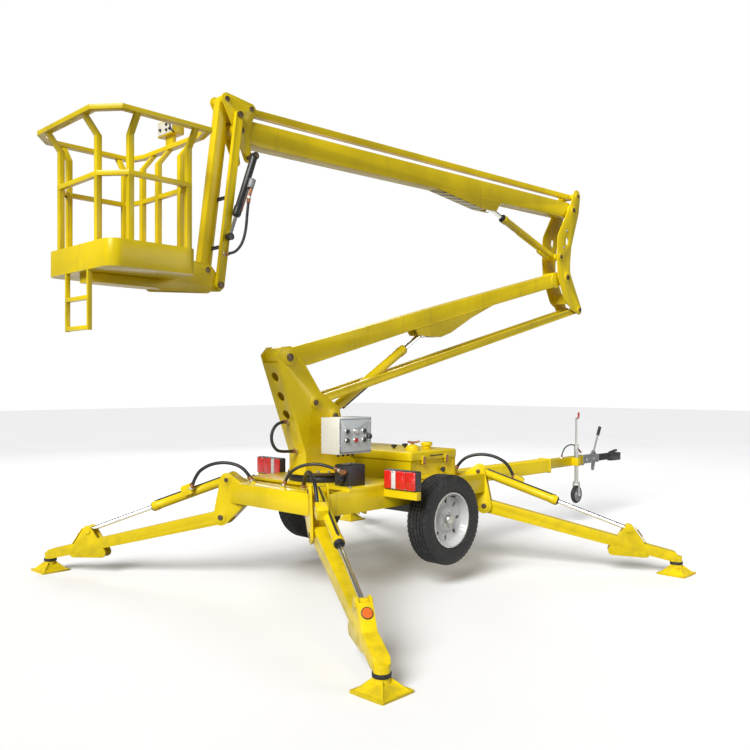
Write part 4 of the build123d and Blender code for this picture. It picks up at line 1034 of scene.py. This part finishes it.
class LIFT_OT_electrics(bpy.types.Operator):
    """Makes the lamps' lenses, the control box's buttons and the basket's console"""
    bl_idname = "lift.electrics"
    bl_label = "Fit the lamps and controls"

    def execute(self, context):
        self.lamps()
        self.control_box()
        self.console()
        return {"FINISHED"}

    def lamps(self):
        # Segments across a lamp: start and end from its inner end, finish
        segments = ((0.006, 0.076, red_lens), (0.079, 0.120, white_lens), (0.123, 0.222, red_lens),
                    (0.225, 0.314, red_lens))
        rear_x, base_z, inner_y = pad_mid_x - 0.360, 0.790, 0.615
        for side_name, hand in (("left", 1), ("right", -1)):
            for index, (low, high, maker) in enumerate(segments):
                centre = (rear_x - 0.002, hand * (inner_y + (low + high) / 2), base_z + 0.075)
                size = (0.020, high - low, 0.136)
                lens_piece = block(f"lamp_{side_name}_lens_{index}", centre, size, 0.007, 3)
                dress(lens_piece, "chassis", maker)
            for index, (low, high) in enumerate(((0.123, 0.222), (0.225, 0.314))):
                place = Vector((rear_x - 0.0115, hand * (inner_y + (low + high) / 2), base_z + 0.075))
                fit(f"lamp_{side_name}_dome_{index}", "chassis", red_lens, aimed(place, -AHEAD), [
                    (0, 0.0045), (0.012, 0.0042), (0.024, 0.0030), (0.033, 0.0012), (0.035, 0.0),
                    (0.035, -0.004), (0, -0.004)], 36)
            bolt_set(f"lamp_{side_name}_screws", "chassis", 0.006, 0.003, [
                aimed((rear_x - 0.012, hand * (inner_y + along), base_z + up), -AHEAD)
                for along in (0.0995, 0.2235) for up in (0.014, 0.136)])

    def control_box(self):
        low, high = (Vector(corner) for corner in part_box("control_box"))
        middle_x, middle_z, door_y = (low.x + high.x) / 2, 1.195, low.y + 0.024
        # Buttons: step along and up from the middle, finish
        buttons = (
            (-0.098, 0.034, black_plastic), (-0.010, 0.034, zinc), (0.078, 0.034, black_plastic),
            (-0.098, -0.034, black_plastic), (-0.010, -0.034, red_plastic), (0.078, -0.034, black_plastic))
        for index, (along, up, maker) in enumerate(buttons):
            placing = aimed((middle_x + along, door_y, middle_z + up), -LEFT)
            fit(f"control_collar_{index}", "turntable", zinc, placing, [
                (0.0152, 0.0), (0.0215, 0.0), (0.0215, 0.0030), (0.0195, 0.0055), (0.0180, 0.0085),
                (0.0152, 0.0085), (0.0152, 0.0)], 32)
            fit(f"control_button_{index}", "turntable", maker, placing, [
                (0.0158, 0.006), (0.0166, 0.0075), (0.0166, 0.0160), (0.0150, 0.0180), (0.0120, 0.0185),
                (0.0105, 0.0172), (0, 0.0168)], 32)
        placing = aimed((high.x - 0.045, door_y, middle_z - 0.010), -LEFT)
        fit("control_switch_collar", "turntable", zinc, placing, [
            (0.0205, 0.0), (0.0300, 0.0), (0.0300, 0.0025), (0.0280, 0.0050), (0.0205, 0.0050),
            (0.0205, 0.0)], 36)
        fit("control_switch_knob", "turntable", black_plastic, placing, [
            (0.0208, 0.004), (0.0222, 0.006), (0.0222, 0.0150), (0.0205, 0.0170), (0.0205, 0.0220),
            (0.0190, 0.0240), (0, 0.0242)], 36)
        grip = block("control_switch_grip", (high.x - 0.045, door_y - 0.0255, middle_z - 0.010),
                     (0.010, 0.009, 0.040), 0.003, 2)
        dress(grip, "turntable", black_plastic)
        # Door seal, hinges on the rear edge and two quarter-turn locks
        half_x, half_z = (high.x - low.x) / 2 - 0.013, 0.122
        seal_points = [
            Vector((middle_x + x, door_y + 0.0055, middle_z + z))
            for x, z in ((-half_x, -half_z), (half_x, -half_z), (half_x, half_z), (-half_x, half_z))]
        seal = line("control_door_seal", seal_points, 0.0022, cyclic=True)
        dress(seal, "turntable", rubber)
        for index, up in enumerate((-0.085, 0.085)):
            hinge = rod(f"control_hinge_{index}", (low.x + 0.004, door_y + 0.002, middle_z + up - 0.022),
                        (low.x + 0.004, door_y + 0.002, middle_z + up + 0.022), 0.0055, 20, 0.001)
            dress(hinge, "turntable", zinc)
            placing = aimed((high.x - 0.022, door_y, middle_z + up * 1.2), -LEFT)
            fit(f"control_lock_{index}", "turntable", zinc, placing, [
                (0, 0.0055), (0.0035, 0.0055), (0.0038, 0.0040), (0.0078, 0.0040), (0.0084, 0.0030),
                (0.0084, -0.001), (0, -0.001)], 24)
        # Cable glands below the box
        for index, along in enumerate((-0.10, -0.05, 0.0, 0.05)):
            placing = aimed((middle_x + along, (low.y + high.y) / 2, low.z + 0.001), -UP)
            fit(f"control_gland_{index}", "turntable", black_plastic, placing, [
                (0, 0.0), (0.0135, 0.0), (0.0135, 0.007), (0.0115, 0.009), (0.0115, 0.019), (0.0085, 0.024),
                (0.0060, 0.0245), (0, 0.0245)], 6 if index % 2 else 24)

    def console(self):
        low, high = (Vector(corner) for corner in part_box("basket_panel"))
        face_x, middle_y = low.x, (low.y + high.y) / 2
        panel = block("console_face", (face_x - 0.0012, middle_y, low.z + 0.112), (0.003, 0.184, 0.082),
                      0.001, 1)
        dress(panel, "basket", cream_enamel)
        # Buttons on the face that looks into the basket: step to the left and up, radius
        buttons = [(aside, row, 0.0078) for aside in (-0.020, -0.060) for row in (0.094, 0.130)]
        buttons += [(0.058, 0.106, 0.0085)]
        for index, (aside, up, radius) in enumerate(buttons):
            placing = aimed((face_x - 0.0025, middle_y + aside, low.z + up), -AHEAD)
            fit(f"console_button_{index}", "basket", black_plastic, placing, [
                (0, 0.012), (radius * 0.7, 0.0118), (radius, 0.0100), (radius, 0.0040),
                (radius * 1.3, 0.0030), (radius * 1.3, 0.0), (0, 0.0)], 24)
        guard_points = [
            Vector((face_x + x, middle_y - 0.104, low.z + z))
            for x, z in ((0.004, 0.060), (-0.030, 0.070), (-0.030, 0.150), (0.004, 0.158))]
        guard = line("console_guard", guard_points, 0.005, smooth_order=3, sides=4)
        dress(guard, "basket", black_steel)


def gland_ring(name, end, along, tube_radius, rod_radius, body):
    """The screwed gland and the wiper at the end of a cylinder's tube."""
    placing = aimed(end, along)
    inner, outer = rod_radius + 0.0012, tube_radius * 0.9
    fit(f"{name}_gland", body, black_steel, placing, [
        (inner, -0.001), (outer, -0.001), (outer, 0.009), (outer - 0.0015, 0.0105), (inner + 0.005, 0.0105),
        (inner, 0.0105), (inner, -0.001)], 36)
    fit(f"{name}_wiper", body, rubber, placing, [
        (inner, 0.0107), (inner + 0.0045, 0.0107), (inner + 0.0045, 0.013), (inner + 0.0015, 0.017),
        (inner, 0.0172), (inner, 0.0107)], 36)


class LIFT_OT_hydraulics(bpy.types.Operator):
    """Makes the glands at the cylinders' ends and the pack's valves"""
    bl_idname = "lift.hydraulics"
    bl_label = "Fit the cylinder glands"

    def execute(self, context):
        for leg in legs:
            along = (leg_eye_pin - leg_base_pin).normalized()
            tube_length = (leg_eye_pin - leg_base_pin).length - leg_rod_shown
            end = leg_base_pin + along * tube_length
            direction = leg.out * along.x + UP * along.y
            body = f"leg_cylinder_{leg.corner}"
            gland_ring(f"leg_{leg.corner}", leg.at(end.x, end.y), direction, 0.040, 0.018, body)
        # Cylinder, its foot, its rod's eye, rod shown at rest, tube and rod radii
        cylinders = (
            ("lower", at("lower_cylinder_swing"), lower_eye, 0.278, 0.045, 0.022),
            ("upper", at("upper_cylinder_swing"), upper_eye, 0.234, 0.043, 0.020),
            ("jib", at("jib_cylinder_swing"), jib_eye + LEFT * jib_cylinder_aside, 0.174, 0.031, 0.013))
        for name, foot, eye, shown, tube_radius, rod_radius in cylinders:
            along = (eye - foot).normalized()
            gland_ring(name, eye - along * shown, along, tube_radius, rod_radius, f"{name}_cylinder")
        self.valve_coils()
        self.pack_valve()
        return {"FINISHED"}

    def valve_coils(self):
        """Two solenoid valves on the rear face of the valve box."""
        coils = ((-0.470, 0.868, black_plastic), (-0.500, 0.930, brown_zinc))
        for index, (y, z, maker) in enumerate(coils):
            fit(f"valve_coil_{index}", "chassis", maker, aimed((slew_x - 0.245, y, z), -AHEAD), [
                (0, -0.002), (0.016, -0.002), (0.016, 0.006), (0.009, 0.008), (0.009, 0.014),
                (0.021, 0.016), (0.022, 0.018), (0.022, 0.050), (0.020, 0.053), (0.008, 0.054),
                (0.008, 0.064), (0.006, 0.066), (0, 0.066)], 32)

    def pack_valve(self):
        """The emergency lowering valve, a dome with a brown lever on the pack's lid, and two breathers."""
        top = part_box("power_pack")[1][2]
        foot = Vector((pad_mid_x + 0.235, -0.376, top))
        fit("pack_valve_body", "chassis", yellow_enamel, aimed(foot, UP), [
            (0, 0.0), (0.056, 0.0), (0.056, 0.020), (0.051, 0.034), (0.036, 0.046), (0.014, 0.051),
            (0, 0.052)], 40)
        fit("pack_valve_nut", "chassis", brown_zinc, aimed(foot + UP * 0.049, UP), [
            (0, 0.0), (0.016, 0.0), (0.016, 0.014), (0.009, 0.017), (0.009, 0.024), (0, 0.025)], 6)
        lever = line("pack_valve_lever", [
            foot + Vector(step) for step in (
                (-0.028, 0.030, 0.072), (0, 0, 0.066), (0.030, -0.031, 0.070), (0.042, -0.044, 0.080))],
            0.0085, smooth_order=3, sides=4)
        dress(lever, "chassis", brown_zinc)
        for index, (x, y) in enumerate(((0.286, -0.121), (0.435, -0.114))):
            fit(f"pack_breather_{index}", "chassis", black_plastic, aimed((pad_mid_x + x, y, top), UP), [
                (0, 0.0), (0.012, 0.0), (0.012, 0.012), (0.024, 0.014), (0.026, 0.018), (0.026, 0.028),
                (0.020, 0.034), (0, 0.035)], 28)


class LIFT_OT_trim(bpy.types.Operator):
    """Adds the hazard strip, leg covers, reflectors, pad rings, catches, bolts, weld beads and a grip"""
    bl_idname = "lift.trim"
    bl_label = "Add the trim"

    def execute(self, context):
        self.hazard_strip()
        self.leg_trim()
        self.pack_catches()
        self.bolts()
        self.welds()
        self.grips()
        return {"FINISHED"}

    def hazard_strip(self):
        start = head_pin + boom_along * 2.262 - boom_across * 0.0925
        end = head_pin + boom_along * 2.912 - boom_across * 0.1820
        slope = (end - start).normalized()
        square = slope.cross(LEFT)
        placing = Matrix.Translation((start + end) / 2 - square * 0.0009) @ Matrix(
            (slope, LEFT, -square)).transposed().to_4x4()
        half, wide = (end - start).length / 2, 0.055
        outline = [(-half, -wide), (half, -wide), (half, wide), (-half, wide)]
        strip = plate("hazard_strip", placing, outline, 0.0016, 0.0004)
        dress(strip, "upper_boom", hazard_stripes)

    def leg_trim(self):
        for leg in legs:
            name = f"leg_{leg.corner}"
            top, foot = Vector((1.262, -0.146)), Vector((1.372, -0.304))
            slope = (foot - top).normalized()
            square = Vector((-slope.y, slope.x))
            down = leg.out * slope.x + UP * slope.y
            out = leg.out * square.x + UP * square.y
            middle = (top + foot) / 2
            place = leg.at(middle.x, middle.y)
            placing = Matrix.Translation(place) @ Matrix((down, leg.aside, out)).transposed().to_4x4()
            if out.cross(down).dot(leg.aside) < 0:
                placing = Matrix.Translation(place) @ Matrix((down, -leg.aside, out)).transposed().to_4x4()
            long = (foot - top).length / 2
            outline = [(-long, -0.044), (long, -0.044), (long, 0.044), (-long, 0.044)]
            cover = plate(name + "_cover", placing, outline, 0.005)
            dress(cover, name, yellow_enamel)
            shift = Matrix.Translation((-0.035, 0, 0.0025))
            fit(name + "_reflector_rim", name, black_plastic, placing @ shift, [
                (0.030, 0.0), (0.0345, 0.0), (0.0345, 0.0055), (0.0325, 0.0070), (0.030, 0.0070),
                (0.030, 0.0)], 40)
            fit(name + "_reflector", name, amber_lens, placing @ shift, [
                (0.0302, 0.0), (0.0302, 0.0058), (0.020, 0.0068), (0, 0.0072)], 40)
            pad = leg.at(1.590, -leg.pivot.z)
            fit(name + "_pad_ring", name, rubber, aimed(pad + UP * 0.084, UP), [
                (0.0452, 0.0), (0.0505, 0.0), (0.0515, 0.003), (0.0515, 0.019), (0.0505, 0.022),
                (0.0452, 0.022), (0.0452, 0.0)], 40)

    def pack_catches(self):
        low, high = (Vector(corner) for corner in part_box("power_pack"))
        for side_name, y, hand in (("right", low.y, -1), ("left", high.y, 1)):
            for index, x in enumerate((pad_mid_x + 0.215, pad_mid_x + 0.505)):
                catch = block(f"pack_catch_{side_name}_{index}", (x, y + hand * 0.003, 0.957),
                              (0.026, 0.010, 0.062), 0.003, 2)
                dress(catch, "chassis", brown_zinc)
            placing = aimed((pad_mid_x + 0.456, y - hand * 0.0215, 0.868), LEFT * hand)
            fit(f"pack_knob_{side_name}", "chassis", black_plastic, placing, [
                (0, 0.0), (0.010, 0.0), (0.010, 0.012), (0.022, 0.018), (0.022, 0.030), (0.016, 0.034),
                (0, 0.035)], 28)
            handle = line(f"pack_handle_{side_name}", [
                Vector((pad_mid_x + x, y + hand * out, 0.995))
                for x, out in ((0.300, -0.004), (0.300, 0.026), (0.420, 0.026), (0.420, -0.004))],
                0.005, sides=4)
            dress(handle, "chassis", black_steel)

    def bolts(self):
        flats = bpy.context.scene.lift_fittings.bolt_flats
        ring = [tau * step / 20 for step in range(20)]
        places = [Vector((slew_x + 0.268 * cos(turn), 0.268 * sin(turn), table_top)) for turn in ring]
        bolt_set("turntable_bolts", "turntable", flats, 0.011, [
            aimed(place, UP) for place in places if abs(place.y) > 0.125])
        bolt_set("coupler_bolts", "chassis", flats, 0.012, [
            aimed((pad_mid_x + x, hand * 0.042, 0.700), LEFT * hand)
            for x in (3.70, 3.86) for hand in (-1, 1)])
        bolt_set("deck_bolts", "chassis", flats, 0.011, [
            aimed((slew_x + x, hand * 0.575, 0.820), UP) for x in (-0.28, 0.28) for hand in (-1, 1)])
        bolt_set("elbow_bolts", "elbow", flats * 0.9, 0.009, [
            aimed((elbow_pin.x + x, hand * 0.100, elbow_pin.z + z), LEFT * hand)
            for x, z in ((-0.075, 0.330), (-0.010, 0.520)) for hand in (-1, 1)])

    def welds(self):
        for side_name, hand in (("left", 1), ("right", -1)):
            bead(f"tower_weld_{side_name}", "turntable", [
                Vector((slew_x + x, hand * 0.1005, table_top + 0.001)) for x in (-0.288, 0.238)])
            bead(f"lower_gusset_weld_{side_name}", "lower_boom", [
                tower_pin + lower_along * x - lower_across * z + LEFT * hand * 0.0622
                for x, z in ((lower_eye_along - 0.105, 0.075), (lower_eye_along + 1.090, 0.067))], 0.0034)
            bead(f"upper_gusset_weld_{side_name}", "upper_boom", [
                head_pin + boom_along * x - boom_across * 0.0855 + LEFT * hand * 0.0602
                for x in (2.26, 3.22)], 0.0034)
        for name, x, half, z in (("root", 2.8555, 0.0705, 0.690), ("end", 3.5995, 0.0505, 0.700)):
            frame_points = [Vector((pad_mid_x + x, hand_y * half, z + hand_z * half))
                            for hand_y, hand_z in ((-1, -1), (1, -1), (1, 1), (-1, 1))]
            bead(f"drawbar_weld_{name}", "chassis", frame_points, 0.0034, cyclic=True)

    def grips(self):
        """The rubber grip on the handbrake's lever."""
        foot = Vector((pad_mid_x + 4.025, 0.050, 0.750))
        top = Vector((pad_mid_x + 4.190, 0.050, 1.060))
        along = (top - foot).normalized()
        profile = [(0.0172, -0.112), (0.0190, -0.111)]
        for ring in range(9):
            low = -0.105 + 0.011 * ring
            profile += [(0.0190, low), (0.0178, low + 0.003), (0.0190, low + 0.006)]
        profile += [(0.0190, -0.006), (0.0165, 0.0005), (0, 0.0012)]
        fit("handbrake_grip", "chassis", rubber, aimed(top, along), profile, 28)


class LIFT_OT_stage(bpy.types.Operator):
    """Makes the pale floor, the soft lights and the camera"""
    bl_idname = "lift.stage"
    bl_label = "Set the stage"

    def execute(self, context):
        stage = context.scene.lift_stage
        let_go()
        bpy.ops.mesh.primitive_plane_add(size=1)
        floor = named("floor")
        floor.scale = (90, 90, 1)
        floor.location = (0, 0, -0.0005)
        apply_place(floor)
        floor.data.materials.append(finish_of(floor_grey))
        camera_data = bpy.data.cameras.new("camera")
        camera_data.lens = stage.lens
        camera_data.sensor_width = 36
        camera_data.shift_y = stage.rise
        camera = added("camera", camera_data)
        camera.location = stage.eye
        camera.rotation_euler = (radians(90), 0, -stage.heading)
        context.scene.camera = camera
        # The floor throws no light back up, so the undersides stay as deep as in the photograph
        floor.visible_diffuse = False
        # One wide, even key light from the outer end of the basket
        data = bpy.data.lights.new("key", "SUN")
        data.energy = stage.key
        data.angle = radians(32)
        lamp = added("key", data)
        key_place = Vector((-8.5, -2.5, 6.5))
        lamp.matrix_world = aimed(key_place, key_place)
        # Soft lights: name, place, aim, size, power
        lights = (
            ("fill", (3.0, -9.5, 4.0), (0, 0, 1.2), 5.0, 200),
            ("back", (5.0, 8.5, 7.0), (0, 0, 1.5), 5.0, 320))
        for name, place, target, size, power in lights:
            data = bpy.data.lights.new(name, "AREA")
            data.shape = "DISK"
            data.size = size
            data.energy = power
            lamp = added(name, data)
            lamp.matrix_world = aimed(place, Vector(place) - Vector(target))
        world = bpy.data.worlds.new("studio")
        world.use_nodes = True
        tree = world.node_tree
        background = tree.nodes["Background"]
        background.inputs["Color"].default_value = (1, 1, 1, 1)
        # The camera sees a whiter world than the one that lights the machine
        lighting, seen = 0.22, 1.0
        rays = tree.nodes.new("ShaderNodeLightPath")
        strength = tree.nodes.new("ShaderNodeMapRange")
        strength.inputs["To Min"].default_value = lighting
        strength.inputs["To Max"].default_value = seen
        tree.links.new(rays.outputs["Is Camera Ray"], strength.inputs["Value"])
        tree.links.new(strength.outputs["Result"], background.inputs["Strength"])
        context.scene.world = world
        context.scene.view_settings.view_transform = "Standard"
        return {"FINISHED"}


class LIFT_PT_dressing(bpy.types.Panel):
    """Lists the operators and their settings"""
    bl_label = "Boom lift"
    bl_idname = "LIFT_PT_dressing"
    bl_space_type = "VIEW_3D"
    bl_region_type = "UI"
    bl_category = "Boom lift"

    def draw(self, context):
        for settings in (context.scene.lift_paint, context.scene.lift_fittings, context.scene.lift_stage):
            box = self.layout.box()
            for name in settings.__annotations__:
                box.prop(settings, name)
        for operator in operators:
            self.layout.operator(operator.bl_idname)


settings_groups = (
    ("lift_paint", PaintSettings), ("lift_fittings", FittingSettings), ("lift_stage", StageSettings))
operators = (
    LIFT_OT_stage, LIFT_OT_hoses, LIFT_OT_steelwork, LIFT_OT_running_gear, LIFT_OT_hydraulics,
    LIFT_OT_electrics, LIFT_OT_trim)


def register():
    for name, group in settings_groups:
        bpy.utils.register_class(group)
        setattr(bpy.types.Scene, name, PointerProperty(type=group))
    for operator in operators:
        bpy.utils.register_class(operator)
    bpy.utils.register_class(LIFT_PT_dressing)


def unregister():
    bpy.utils.unregister_class(LIFT_PT_dressing)
    for operator in reversed(operators):
        bpy.utils.unregister_class(operator)
    for name, group in reversed(settings_groups):
        delattr(bpy.types.Scene, name)
        bpy.utils.unregister_class(group)


def main():
    register()
    for operator in operators:
        prefix, action = operator.bl_idname.split(".")
        getattr(getattr(bpy.ops, prefix), action)()


if __name__ == "__main__":
    main()
